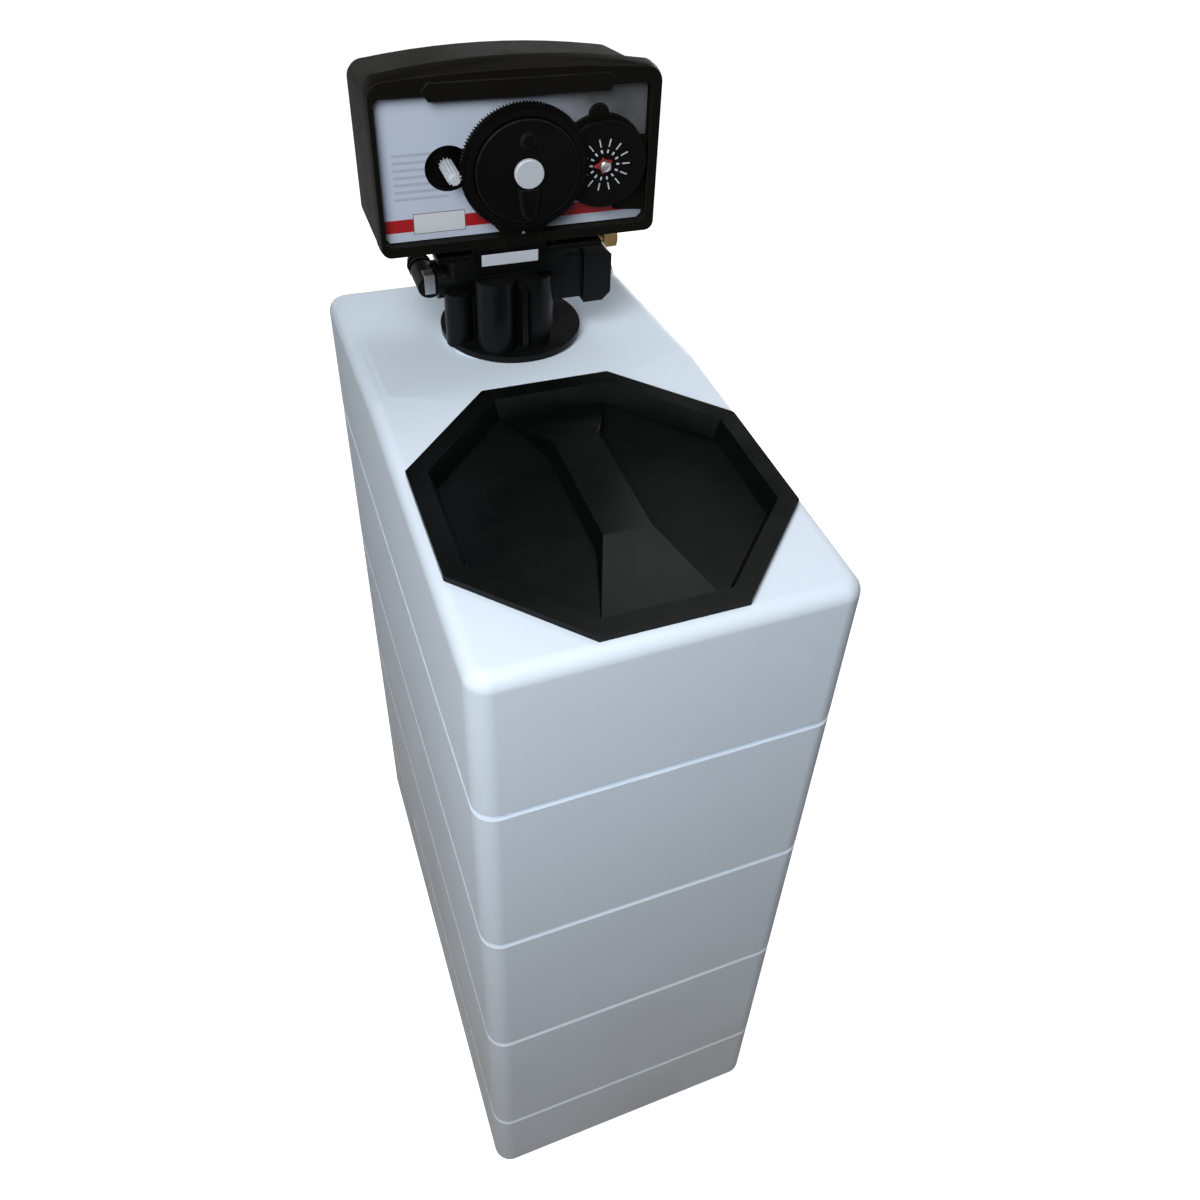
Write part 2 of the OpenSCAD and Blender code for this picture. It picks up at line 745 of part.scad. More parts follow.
module injector_body()
  color([0.07, 0.07, 0.075])
    difference() {
      block(inj_x0, inj_x1, vy - 20, vy + 12, side_z - 17, side_z + 18);
      pin_along_z(stem_x, stem_y, stem_r + run, side_z - 12, side_z + 19);
      pin_along_x(vy - 12, side_z - 8, 4, inj_x0 - 1, inj_x1 + 1);
      for (y = [vy - 17, vy + 8.5])
        pin_along_x(y, side_z, 2 + still, inj_x0 + 2, inj_x1 + 1);
    }

module injector_cap()
  color([0.06, 0.06, 0.065])
    difference() {
      translate([0, vy + 14, 0])
        rotate([90, 0, 0])
          linear_extrude(38)
            polygon([[inj_x1 + 0.1, side_z - 20], [cap_x1 - 6, side_z - 20], [cap_x1, side_z - 14],
              [cap_x1, side_z + 15], [cap_x1 - 4, side_z + 19], [inj_x1 + 0.1, side_z + 19]]);
      for (y = [vy - 17, vy + 8.5])
        pin_along_x(y, side_z, 2 + still, inj_x1 - 1, cap_x1 + 1);
      pin_along_y(fit_x, fit_z, 4, vy - 4, vy + 15);
      pin_along_x(vy - 12, side_z - 8, 3.5, inj_x1 - 1, inj_x1 + 13);
    }

module injector_screws()
  color([0.75, 0.76, 0.78])
    for (y = [vy - 17, vy + 8.5]) {
      pin_along_x(y, side_z, 2, inj_x0 + 2 + still, cap_x1 + 0.5);
      translate([cap_x1, y, side_z])
        rotate([0, 90, 0])
          cylinder(r = 4.4, h = 3, $fn = 6);
    }

module injector_nozzle()
  color([0.9, 0.9, 0.9])
    difference() {
      pin_along_x(vy - 12, side_z - 8, 4 - still, inj_x0 + 0.5, inj_x0 + 6.5);
      pin_along_x(vy - 12, side_z - 8, 1, inj_x0, inj_x0 + 7);
    }

module injector_throat()
  color([0.55, 0.2, 0.2])
    difference() {
      pin_along_x(vy - 12, side_z - 8, 4 - still, inj_x0 + 6.8, inj_x1);
      pin_along_x(vy - 12, side_z - 8, 1.6, inj_x0 + 6, inj_x1 + 1);
    }

module brine_stem()
  color([0.75, 0.76, 0.78]) {
    pin_along_z(stem_x, stem_y, stem_r, side_z - 5, deck_z + 32);
    pin_along_z(stem_x, stem_y, stem_r + 2.6, deck_z + 24, deck_z + 26);
  }

// One unbroken wire between the chassis and the collar of the stem
spring_r = stem_r + 1.8;
spring_wire = 0.7;
spring_turns = 7;
spring_z0 = deck_z + base_t + spring_wire + still;
spring_z1 = deck_z + 24 - spring_wire - still;
spring_steps = 16 * spring_turns;
spring_mid = [for (k = [0 : spring_steps]) let (a = 360 * spring_turns * k / spring_steps)
  [stem_x + spring_r * cos(a), stem_y + spring_r * sin(a),
    spring_z0 + (spring_z1 - spring_z0) * k / spring_steps]];
spring_gap = (spring_z1 - spring_z0) / spring_turns - 2 * spring_wire;
module brine_spring()
  color([0.75, 0.76, 0.78]) {
    echo(spring_gap = spring_gap);
    polyhedron(
      points = [for (k = [0 : spring_steps], j = [0 : 5])
        let (a = 360 * spring_turns * k / spring_steps, b = 60 * j)
        spring_mid[k] + spring_wire * [cos(a) * cos(b), sin(a) * cos(b), sin(b)]],
      faces = concat(
        [[for (j = [0 : 5]) j]],
        [[for (j = [5 : -1 : 0]) 6 * spring_steps + j]],
        [for (k = [0 : spring_steps - 1], j = [0 : 5], h = [0, 1])
          h == 0 ? [6 * k + j, 6 * (k + 1) + j, 6 * (k + 1) + (j + 1) % 6]
            : [6 * k + j, 6 * (k + 1) + (j + 1) % 6, 6 * k + (j + 1) % 6]]));
  }

module brine_elbow()
  color([0.78, 0.62, 0.3])
    difference() {
      union() {
        pin_along_y(fit_x, fit_z, 6, vy + 14 + still, fit_y + 1);
        pin_along_x(fit_y, fit_z, 7, fit_x - 8, fit_x + 28);
      }
      pin_along_y(fit_x, fit_z, 3.5, vy + 13, fit_y);
      pin_along_x(fit_y, fit_z, 3, fit_x - 3, fit_x + 12);
      pin_along_x(fit_y, fit_z, brine_bore, fit_x + 10, fit_x + 29);
    }

module brine_nut()
  color([0.78, 0.62, 0.3])
    difference() {
      translate([fit_x + 17, fit_y, fit_z])
        rotate([0, 90, 0])
          cylinder(r = 9.5, h = 10, $fn = 6);
      pin_along_x(fit_y, fit_z, 7 + still, fit_x + 16, fit_x + 28);
    }

// Drain, left of the valve

module drain_elbow()
  color([0.06, 0.06, 0.065])
    difference() {
      union() {
        pin_along_x(vy - 2, side_z, 8 - still, -51, -40);
        pin_along_x(vy - 2, side_z, drain_r, -53, -50 - still);
        pin_along_x(vy - 2, side_z, 8, elbow_x, -52);
        pin_along_y(elbow_x, side_z, 8, vy - 12, vy + 12);
        pin_along_y(elbow_x, side_z, 7, vy + 10, vy + 27);
        for (k = [0 : 1])
          translate([elbow_x, vy + 15 + 6 * k, side_z])
            rotate([-90, 0, 0])
              cylinder(r1 = 8.4, r2 = 7.3, h = 4);
      }
      pin_along_x(vy - 2, side_z, 4.2, elbow_x, -39);
      pin_along_y(elbow_x, side_z, 4.8, vy - 8, vy + 28);
    }

module drain_clip()
  color([0.8, 0.81, 0.83]) {
    block(clip_x0, clip_x0 + clip_w, vy - 13.6, vy - 12 - still, side_z - 4.5, side_z + 9.6);
    block(clip_x0, clip_x0 + clip_w, vy - 13, vy - 5, side_z + 8 + still, side_z + 9.6);
  }

// Rear connection

module connection_yoke()
  color([0.06, 0.06, 0.065])
    difference() {
      union() {
        block(-40, 40, rear_y + 0.1, rear_y + yoke_t, port_z - 15, port_z + 16);
        for (sx = [-1, 1])
          pin_along_y(sx * port_x, port_z, port_r, rear_y + yoke_t - 1, rear_y + yoke_t + 34);
      }
      for (sx = [-1, 1]) {
        pin_along_y(sx * port_x, port_z, port_bore, rear_y, rear_y + yoke_t + 35);
        pin_along_y(sx * port_x, port_z, port_bore + 3.2, rear_y, rear_y + 3);
      }
    }

module yoke_clips()
  color([0.8, 0.81, 0.83])
    for (sx = [-1, 1])
      difference() {
        union() {
          block(sx > 0 ? 40.1 : -41.6, sx > 0 ? 41.6 : -40.1, vy + 28, rear_y + yoke_t + 1.6,
            port_z - 6, port_z + 6);
          block(sx > 0 ? 37 : -41.6, sx > 0 ? 41.6 : -37, rear_y + yoke_t + 0.1, rear_y + yoke_t + 1.6,
            port_z - 6, port_z + 6);
        }
        pin_along_x(vy + 34, port_z, 2.1, sx > 0 ? 39 : -43, sx > 0 ? 43 : -39);
      }

module yoke_screws()
  color([0.75, 0.76, 0.78])
    for (sx = [-1, 1]) {
      pin_along_x(vy + 34, port_z, 1.9, sx > 0 ? 33.5 : -42, sx > 0 ? 42 : -33.5);
      pin_along_x(vy + 34, port_z, 4, sx > 0 ? 41.65 : -44.4, sx > 0 ? 44.4 : -41.65);
    }

module port_seals()
  color([0.03, 0.03, 0.03])
    for (sx = [-1, 1])
      difference() {
        pin_along_y(sx * port_x, port_z, port_bore + 3, rear_y + 0.1, rear_y + 2.9);
        pin_along_y(sx * port_x, port_z, port_bore + 0.5, rear_y - 1, rear_y + 4);
      }

// Timer head

module chassis()
  color([0.09, 0.09, 0.095])
    difference() {
      union() {
        block(-base_half, base_half, base_y0, plate_y1, deck_z, deck_z + base_t);
        block(apron_x0, apron_x1, apron_y0, base_y0, deck_z - 8, head_z - 0.8);
        block(apron_x0, apron_x1, apron_y0, base_y0 + 2, deck_z, deck_z + base_t);
        block(plate_left, plate_right, plate_y0, plate_y1, deck_z + base_t - 1, plate_top);
        block(plate_left, plate_left + 3.5, y_back + 0.5, plate_y0 + 1, dial_z - 14, dial_z + 6);
        for (z = [lug_low, lug_high]) {
          block(lug_in, plate_right, hinge_y - 3, plate_y0 + 1, z, z + lug_h);
          block(lug_in, hinge_x, hinge_y - 3, hinge_y + 3, z, z + lug_h);
          pin_along_z(hinge_x, hinge_y, 3.5, z, z + lug_h);
        }
        pin_along_y(0, dial_z, shaft_r, main_y0, plate_y0 + 1);
        for (x = post_x)
          pin_along_y(x, post_z, hood_post_r, plate_y1 - 1, hood_y1 - hood_wall - 0.1);
      }
      pin_along_z(0, vy, bore_r + 4.3, deck_z - 1, deck_z + base_t + 1);
      pin_along_z(stem_x, stem_y, stem_r + pass, deck_z - 1, deck_z + base_t + 1);
      pin_along_y(drive_x, drive_z, 4, plate_y0 - 1, plate_y1 + 1);
      for (z = [lug_low, lug_high])
        pin_along_z(hinge_x, hinge_y, pin_r + 0.03, z - 1, z + lug_h + 1);
      for (p = deck_screws)
        pin_along_z(p[0], p[1], 2.2, deck_z - 1, deck_z + base_t + 1);
      for (x = post_x)
        pin_along_y(x, post_z, 2 + still, hood_y1 - 20, hood_y1);
    }

module chassis_screws()
  color([0.75, 0.76, 0.78])
    for (p = deck_screws) {
      pin_along_z(p[0], p[1], 2, deck_z - 9.9, deck_z + base_t + 1);
      pin_along_z(p[0], p[1], 4, deck_z + base_t + still, deck_z + base_t + 3);
    }

// Closed solid through outlines in x and z that have equally many points
module loft(ys, lines) {
  n = len(lines[0]);
  m = len(ys);
  polyhedron(
    points = [for (s = [0 : m - 1], p = lines[s]) [p[0], ys[s], p[1]]],
    faces = concat(
      [[for (i = [n - 1 : -1 : 0]) i]],
      [[for (i = [0 : n - 1]) (m - 1) * n + i]],
      [for (s = [0 : m - 2], i = [0 : n - 1], h = [0, 1]) let (a = s * n + i, b = s * n + (i + 1) % n)
        h == 0 ? [a, b, b + n] : [a, b + n, a + n]]));
}

// The hood at full size, or moved in by its wall and let out below
module hood_form(inset, low) {
  x0 = -bezel_half + 0.3 + inset;
  x1 = hood_right - inset;
  h = bezel_h - 2 - inset + low;
  ends = [[hood_y0 - (inset > 0 ? 1 : 0), 0, 0],
    [hood_y1 - 18 - inset, 0, 8], [hood_y1 - 9 - inset, 2, 10.5],
    [hood_y1 - 3 - inset, 6, 14.5], [hood_y1 - inset, 11, 20]];
  loft([for (e = ends) e[0]],
    [for (e = ends) head_line(x0 + e[1], x1 - e[1], head_z - low, h - e[2], bezel_corner)]);
}

module hood()
  color([0.07, 0.065, 0.06])
    difference() {
      hood_form(0, 0);
      hood_form(hood_wall, 14);
      block(70, hood_right + 1, hood_y0 - 1, hinge_y + 3.6, head_z - 1, head_z + 100);
      for (x = post_x)
        pin_along_y(x, post_z, 2.3, hood_y1 - 20, hood_y1 + 1);
      block(-45, 45, vy + 30, hood_y1 + 1, head_z - 1, head_z + 3);
    }

module hood_screws()
  color([0.75, 0.76, 0.78])
    for (x = post_x) {
      pin_along_y(x, post_z, 2, hood_y1 - 19, hood_y1 + 1);
      pin_along_y(x, post_z, 4, hood_y1 + still, hood_y1 + 2.6);
    }

module front_bezel()
  color([0.05, 0.05, 0.055])
    difference() {
      union() {
        difference() {
          loft([yb, yb + 5, y_back],
            [head_line(-bezel_half + 0.8, bezel_half - 0.8, head_z, bezel_h, bezel_corner, front_crown),
              head_line(-bezel_half, bezel_half, head_z, bezel_h, bezel_corner),
              head_line(-bezel_half, bezel_half, head_z, bezel_h, bezel_corner)]);
          upright(yb - 1, y_back + 1)
            polygon(window_line());
        }
        upright(y_plate, y_plate + plate_t)
          polygon([[-window_left - 1, win_z0 - 1], [window_half + 1, win_z0 - 1],
            [window_half + 1, win_z1 + 1], [-window_left - 1, win_z1 + 1]]);
        upright(yb - 1, yb + 4)
          polygon([[-60, win_z1 + 3], [-56, win_z1 - 3], [56, win_z1 - 3],
            [60, win_z1 + 3], [56, win_z1 + 8], [-56, win_z1 + 8]]);
        upright(y_label - 1, y_plate + 1)
          island(0);
        upright(yb - 0.6, y_plate + 1)
          polygon([[-13, head_z], [12, head_z], [12, head_z + 7], [20, head_z + 16], [-20, head_z + 16],
            [-13, head_z + 7]]);
        pin_along_y(0, dial_z, hub_r, hour_y0 - 0.5, y_plate + 1);
        pin_along_y(skip_x, skip_z, post_r, skip_y0 - 0.2, y_plate + 1);
        for (z = [lug_low + lug_h + 0.4, lug_high - 8.4]) {
          block(hinge_x - 3, hinge_x + 3, y_back - 1, hinge_y, z, z + 8);
          pin_along_z(hinge_x, hinge_y, 3.2, z, z + 8);
        }
      }
      pin_along_y(0, dial_z, shaft_r + run, hour_y0 - 1, y_plate + plate_t + 1);
      pin_along_y(-45, dial_z - 1.5, 14.6, yb, y_back);
      pin_along_y(skip_x, skip_z, 1.5 + still, skip_y0 - 1, y_plate + 1);
      for (z = [lug_low + lug_h, lug_high - 9])
        pin_along_z(hinge_x, hinge_y, pin_r + run, z, z + 10);
    }

// Window outline with cut corners, moved in by d
function window_line(d = 0) =
  let (v = window_left - d, w = window_half - d, lo = win_z0 + d, hi = win_z1 - d, c = 3)
  [[-v + c, lo], [w - c, lo], [w, lo + c], [w, hi - c],
    [w - c, hi], [-v + c, hi], [-v, hi - c], [-v, lo + c]];

module label_plate()
  color([0.72, 0.72, 0.76])
    upright(y_label, y_plate - 0.02)
      difference() {
        polygon(window_line(0.4));
        translate([0, dial_z])
          circle(r = hub_r + 0.4);
        translate([-45, dial_z - 1.5])
          circle(r = 14.6);
        island(0.4);
        polygon([[-13.4, win_z0 - 1], [12.4, win_z0 - 1], [12.4, head_z + 6.8], [20.9, head_z + 16.4],
          [-20.9, head_z + 16.4], [-13.4, head_z + 6.8]]);
      }

module hinge_pins()
  color([0.75, 0.76, 0.78]) {
    pin_along_z(hinge_x, hinge_y, pin_r, lug_low, lug_low + lug_h + 8);
    pin_along_z(hinge_x, hinge_y, pin_r, lug_high - 8, lug_high + lug_h);
  }

module hour_gear()
  color([0.05, 0.05, 0.055])
    difference() {
      union() {
        gear(hour_teeth, hour_mod, pin_ang, 0, dial_z, hour_y0, hour_y1);
        pin_along_y(0, dial_z, hour_r - 3, hour_y0 - 3, hour_y0 + 1);
      }
      pin_along_y(0, dial_z, hub_r + run, hour_y0 - 1, hour_y1 + 1);
      pin_along_y(0, dial_z, knob_r + 0.8, hour_y0 - 4, hour_y0);
    }

module regen_knob()
  color([0.05, 0.05, 0.055]) {
    pin_along_y(0, dial_z, knob_r, knob_y0, knob_y1);
    pin_along_y(0, dial_z, shaft_r, knob_y1 - 1, main_y0 - 1.2);
    pin_along_y(0, dial_z + 20, 4.5, knob_y0 - 2, knob_y0 + 1);
    upright(knob_y0 - 3, knob_y0 + 1)
      polygon([[-6.5, dial_z - cap_r - 0.5], [6.5, dial_z - cap_r - 0.5], [4, dial_z - knob_r + 6],
        [0, dial_z - knob_r + 2], [-4, dial_z - knob_r + 6]]);
  }

module knob_cap()
  color([0.95, 0.95, 0.93])
    pin_along_y(0, dial_z, cap_r, knob_y0 - 3.4, knob_y0);

module drive_dog()
  color([0.85, 0.85, 0.8])
    difference() {
      pin_along_y(0, dial_z, 11, y_plate + plate_t + 0.5, main_y0 - 0.5);
      pin_along_y(0, dial_z, shaft_r + still, y_plate + plate_t, main_y0 - 1.15);
    }

module skip_wheel()
  color([0.05, 0.05, 0.055])
    difference() {
      union() {
        pin_along_y(skip_x, skip_z, skip_r, skip_y0, skip_y1);
        pin_along_y(skip_x, skip_z, 9, skip_y1 - 1, y_label - 1.3);
      }
      pin_along_y(skip_x, skip_z, post_r + run, skip_y0 - 1, y_label);
    }

module skip_pointer()
  color([0.8, 0.1, 0.1])
    difference() {
      upright(skip_y0 - 1.8, skip_y0 - 0.2)
        polygon([for (k = [0 : 9]) let (r = k == 5 ? 8 : k % 2 == 0 ? 3.9 : 5.6)
          [skip_x + r * cos(36 * k), skip_z + r * sin(36 * k)]]);
      pin_along_y(skip_x, skip_z, 1.5 + still, skip_y0 - 3, skip_y0);
    }

module pointer_screw()
  color([0.78, 0.79, 0.8])
    difference() {
      union() {
        pin_along_y(skip_x, skip_z, 3.2, skip_y0 - 3.8, skip_y0 - 1.8);
        pin_along_y(skip_x, skip_z, 1.5, skip_y0 - 2, y_plate);
      }
      block(skip_x - 2.2, skip_x + 2.2, skip_y0 - 4, skip_y0 - 2.8, skip_z - 0.4, skip_z + 0.4);
      block(skip_x - 0.4, skip_x + 0.4, skip_y0 - 4, skip_y0 - 2.8, skip_z - 2.2, skip_z + 2.2);
    }

module timer_motor()
  color([0.12, 0.12, 0.13])
    difference() {
      union() {
        pin_along_y(motor_x, pin_z, motor_r, y_back + 1, y_back + 19);
        pin_along_y(-45, dial_z - 1.5, 17, y_plate + plate_t, y_back + 2);
        pin_along_y(pin_x, pin_z, 2, hour_y0 + 1.6, y_back + 2);
      }
      difference() {
        pin_along_y(-45, dial_z - 1.5, 14, y_plate, y_back + 1);
        pin_along_y(pin_x, pin_z, 2, hour_y0, y_back + 2);
      }
    }

module motor_pinion()
  color([0.95, 0.95, 0.92])
    difference() {
      union() {
        gear(pin_teeth, hour_mod, pin_ang + 180 + 180 / pin_teeth, pin_x, pin_z, hour_y0 + 0.2, y_back + 0.5);
        pin_along_y(pin_x, pin_z, 2.9, hour_y0 - 2.4, hour_y0 + 1);
      }
      pin_along_y(pin_x, pin_z, 2 + run, hour_y0 + 1.2, y_back + 1);
    }

module main_gear()
  color([0.9, 0.88, 0.8])
    difference() {
      union() {
        gear(main_teeth, main_mod, drive_ang, 0, dial_z, main_y0, main_y1);
        pin_along_y(0, dial_z - crank, 3, main_y1 - 1, vy - 2 - pass);
      }
      pin_along_y(0, dial_z, shaft_r + run, main_y0 - 1, main_y1 + 1);
    }

module drive_motor()
  color([0.55, 0.56, 0.58]) {
    pin_along_y(drive_x, drive_z, motor_r + 2, plate_y1, plate_y1 + 26);
    pin_along_y(drive_x, drive_z, 3, main_y0 + 0.2, plate_y1 + 1);
  }

module drive_pinion()
  color([0.6, 0.55, 0.4])
    difference() {
      gear(drive_teeth, main_mod, drive_ang + 180 + 180 / drive_teeth, drive_x, drive_z, main_y0, main_y1);
      pin_along_y(drive_x, drive_z, 3 + run, main_y0 - 1, main_y1 + 1);
    }

module blank_plate()
  color([0.93, 0.93, 0.95])
    block(apron_x0 + 6, apron_x1 - 6, apron_y0 - 0.5, apron_y0, deck_z - 3, deck_z + 5);

cabinet_shell();
salt_lid();
overflow_elbow();
overflow_nut();
brine_well();
well_cap();
pickup_pipe();
air_check();
safety_valve();
float_rod();
brine_float();
resin_tank();
tank_foot();
resin_bed();
riser_tube();
lower_strainer();
upper_strainer();
valve_body();
neck_seal();
piston();
piston_rod();
rod_yoke();
piston_seals();
seal_spacers();
end_plug();
injector_body();
injector_cap();
injector_screws();
injector_nozzle();
injector_throat();
brine_stem();
brine_spring();
brine_elbow();
brine_nut();
drain_elbow();
drain_clip();
connection_yoke();
yoke_clips();
yoke_screws();
port_seals();
chassis();
chassis_screws();
hood();
hood_screws();
front_bezel();
label_plate();
hinge_pins();
hour_gear();
regen_knob();
knob_cap();
drive_dog();
skip_wheel();
skip_pointer();
pointer_screw();
timer_motor();
motor_pinion();
main_gear();
drive_motor();
drive_pinion();
blank_plate();
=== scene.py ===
import json
import math
from collections import namedtuple

import bmesh
import bpy
from bpy.props import FloatProperty, FloatVectorProperty, IntProperty, PointerProperty
from mathutils import Euler, Matrix, Vector


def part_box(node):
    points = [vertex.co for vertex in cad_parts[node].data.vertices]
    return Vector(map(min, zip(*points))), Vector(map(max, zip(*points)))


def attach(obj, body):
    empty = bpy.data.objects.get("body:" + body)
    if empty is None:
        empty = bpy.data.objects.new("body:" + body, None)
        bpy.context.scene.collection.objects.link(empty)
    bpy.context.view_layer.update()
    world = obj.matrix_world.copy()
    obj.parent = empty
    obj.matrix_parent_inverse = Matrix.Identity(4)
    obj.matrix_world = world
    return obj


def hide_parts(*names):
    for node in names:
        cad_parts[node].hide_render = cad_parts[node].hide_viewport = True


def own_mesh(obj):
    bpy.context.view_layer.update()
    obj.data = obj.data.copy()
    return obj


bl_info = {
    "name": "Cabinet Water Softener",
    "version": (1, 0, 0),
    "blender": (4, 5, 0),
    "location": "View3D > Sidebar > Softener",
    "description": "Finishes, small details and stage of a cabinet water softener",
    "category": "Object",
}

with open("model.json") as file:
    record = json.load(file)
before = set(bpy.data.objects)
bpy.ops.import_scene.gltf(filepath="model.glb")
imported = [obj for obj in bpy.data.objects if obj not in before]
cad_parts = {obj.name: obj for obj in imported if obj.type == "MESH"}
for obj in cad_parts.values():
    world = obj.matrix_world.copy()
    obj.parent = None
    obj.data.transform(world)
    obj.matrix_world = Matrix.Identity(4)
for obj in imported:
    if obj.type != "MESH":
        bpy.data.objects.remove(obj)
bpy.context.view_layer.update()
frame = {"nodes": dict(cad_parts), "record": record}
nodes = frame["nodes"]
node_body = {n: b for b, names in frame["record"]["behaviour"]["bodies"].items() for n in names}
finishes = {}

# A thin cover on a finish: its colour, how much of it shows, and the size of its patches
Cover = namedtuple("Cover", "tone amount size")


# Fixed sizes and places, in metres where they are lengths


MERGE_DISTANCE = 2e-6
FLAT_ANGLE = math.radians(0.3)
SCREW_CREASE = math.radians(30)

UNIT = (0.0, 1.0)
NOISE_SPAN = (0.3, 0.7)
SPECK_SCALE = 900.0
DUST_DULLING = 0.2

FOOT_SHADE_HEIGHT = 0.45
LABEL_SLOPE = 0.9
LABEL_SHADE_SPAN = (0.688, 0.757)
LABEL_SHEEN = (0.9, 0.9, 0.95)
SHEEN_SHARE = 0.08
BAR_TONE = (0.12, 0.12, 0.15)
BAR_SHARE = 0.28
BAR_FOOT = 0.733
BAR_PITCH = 0.0046
BAR_HALF = 0.2
BAR_END = -0.055
BAR_RAGGED = 0.016
BAR_FIELD = {"X": -0.0585, "Z": 0.75, "Half_X": 0.0205, "Half_Z": 0.0165}
STRIPE_REACH = 0.2
PATCH_X = -0.0525
PATCH_Z = 0.7185
PATCH_HALVES = (0.0161, 0.0064)
PATCH_BORDER = 0.0004
PATCH_TONE = (0.6, 0.63, 0.68)
BORDER_TONE = (0.05, 0.05, 0.055)

WINDING_TURNS = 9.0
WINDING_RISE = 60.0
WINDING_STRANDS = 4.0
BEAD_SCALE = 900.0

SPRING_WIRE = 0.0007
SPRING_RADIUS = 0.0048
SPRING_TURNS = 7.0

ARROW_OUTLINE = ((-0.0013, 0.7078), (0.0013, 0.7078), (0.0, 0.7102))
ARROW_FACES = (0.0703, 0.0705)
MARK_SIZES = {"inner": (0.0024, 0.0012), "outer": (0.0052, 0.0008)}
MARK_THICKNESS = 0.00009
MARK_CORNER = 0.49
MARK_CORNER_STEPS = 5

# Half outlines of the screws in head radii and head heights, and the slot of the cross
PAN_OUTLINE = ((0, -4.5), (0.46, -4.5), (0.46, -0.02), (0.97, -0.02), (1, 0.05), (1, 0.38), (0.9, 0.7),
               (0.7, 0.9), (0.42, 0.985), (0, 1))
PAN_STEPS = 32
HEXAGON_OUTLINE = ((0, -3), (0.44, -3), (0.44, -0.02), (0.98, -0.02), (0.98, 0.04), (0.98, 0.82), (0.84, 1),
                   (0, 1))
HEXAGON_STEPS = 6
SLOT_SIZE = (1.24, 0.24, 1.1)
SLOT_MIDDLE = 0.95
SLOT_FOOT = (0.45, 0.6)

# Node, screw, head radius, head height, and the place and facing of each screw
SCREW_SETS = (
    ("hood_screws", "pan_screw", 0.004, 0.0025,
     (((-0.06, 0.15605, 0.776), (0, 1, 0)), ((0.052, 0.15605, 0.776), (0, 1, 0)))),
    ("chassis_screws", "pan_screw", 0.004, 0.0029,
     (((-0.038, 0.088, 0.69405), (0, 0, 1)), ((0.024, 0.086, 0.69405), (0, 0, 1)))),
    ("yoke_screws", "pan_screw", 0.004, 0.0026,
     (((-0.0417, 0.14, 0.655), (-1, 0, 0)), ((0.0417, 0.14, 0.655), (1, 0, 0)))),
    ("pointer_screw", "pan_screw", 0.0038, 0.002,
     (((0.053, 0.0659, 0.75), (0, -1, 0)),)),
    ("injector_screws", "hexagon_screw", 0.0044, 0.003,
     (((0.0662, 0.089, 0.664), (1, 0, 0)), ((0.0662, 0.1145, 0.664), (1, 0, 0)))),
)

FLOOR_REACH = 30.0
FLOOR_DROP = 0.0005
FLOOR_SHADE = (0.16, 0.16, 0.16)
FLOOR_RISE = (0.5, 1.6)
FLOOR_GLOW = (0.86, 1.0)
FLOOR_IN_GLOSS = 0.22
WALL_WHITE = (1.0, 1.0, 1.0)
WALL_OVERHEAD = (0.05, 0.05, 0.05)
WALL_DIMMING = (0.03, 0.32)
FILL_TONE = (0.94, 0.97, 1.0, 1.0)

# Lamp, property of its power, width, place and aim
LAMPS = (
    ("overhead lamp", "key", 0.7, (-0.56, -0.74, 1.5), (-0.02, -0.1, 0.85)),
    ("rear lamp", "rear", 0.7, (0.48, 0.42, 1.9), (0.0, -0.1, 0.6)),
    ("back lamp", "back", 0.9, (1.0, 0.9, 0.62), (0.0, 0.05, 0.36)),
)

# Side of the photograph, and the pixel that the camera's axis goes through
PHOTO_SIDE = 1200
PHOTO_AXIS = (674, 518)
SENSOR_WIDTH = 36.0
CLIP_START = 0.01


# Values that a user would change


def colour(name, text, value):
    return FloatVectorProperty(name=name, description=text, default=value, size=3, min=0, max=1,
                               subtype="COLOR")


def length(name, text, value, low=0.0, high=10.0):
    return FloatProperty(name=name, description=text, default=value, min=low, max=high, unit="LENGTH",
                         precision=5)


def share(name, text, value):
    return FloatProperty(name=name, description=text, default=value, min=0, max=1, subtype="FACTOR")


def power(name, text, value):
    return FloatProperty(name=name, description=text, default=value, min=0, max=500, unit="POWER")


class CabinetLook(bpy.types.PropertyGroup):
    """Moulded cabinet and its lid"""

    white: colour("Cabinet", "Colour of the moulded cabinet", (0.74, 0.845, 0.955))
    # Painted shade: the cabinet darkens to this colour towards its foot.
    foot_shade: colour("Foot", "Colour towards the foot of the cabinet", (0.64, 0.655, 0.67))
    groove_edge: length("Groove edge", "Radius of the edges of the grooves", 0.0016, 0.0002, 0.0024)
    grain: length("Grain", "Size of the moulded grain", 0.0016, 0.0003, 0.01)
    lid_black: colour("Lid", "Colour of the lid", (0.0024, 0.003, 0.0029))
    lid_dust: colour("Lid dust", "Colour of the settled dust on the lid", (0.03, 0.033, 0.034))
    lid_edge: length("Lid edge", "Radius of the edges of the lid", 0.0012, 0.0002, 0.002)


class HeadLook(bpy.types.PropertyGroup):
    """Hood, bezel and printed label"""

    black: colour("Head", "Colour of hood and bezel", (0.0044, 0.0042, 0.0034))
    # Edges of black mouldings: partly rubbed wear, partly a painted highlight.
    worn: colour("Worn edge", "Colour of rubbed edges on black mouldings", (0.035, 0.036, 0.037))
    silver: colour("Label", "Colour of the label on the left", (0.46, 0.53, 0.65))
    # Painted shade: the label darkens to this colour at its upper right.
    silver_in_shade: colour("Label far side", "Colour of the label at its upper right", (0.03, 0.032, 0.038))
    stripe: colour("Stripe", "Colour of the stripe across the label", (0.36, 0.012, 0.016))
    stripe_height: length("Stripe height", "Middle of the stripe above the floor", 0.718, 0.7, 0.8)
    stripe_width: length("Stripe width", "Width of the stripe", 0.0085, 0.001, 0.02)


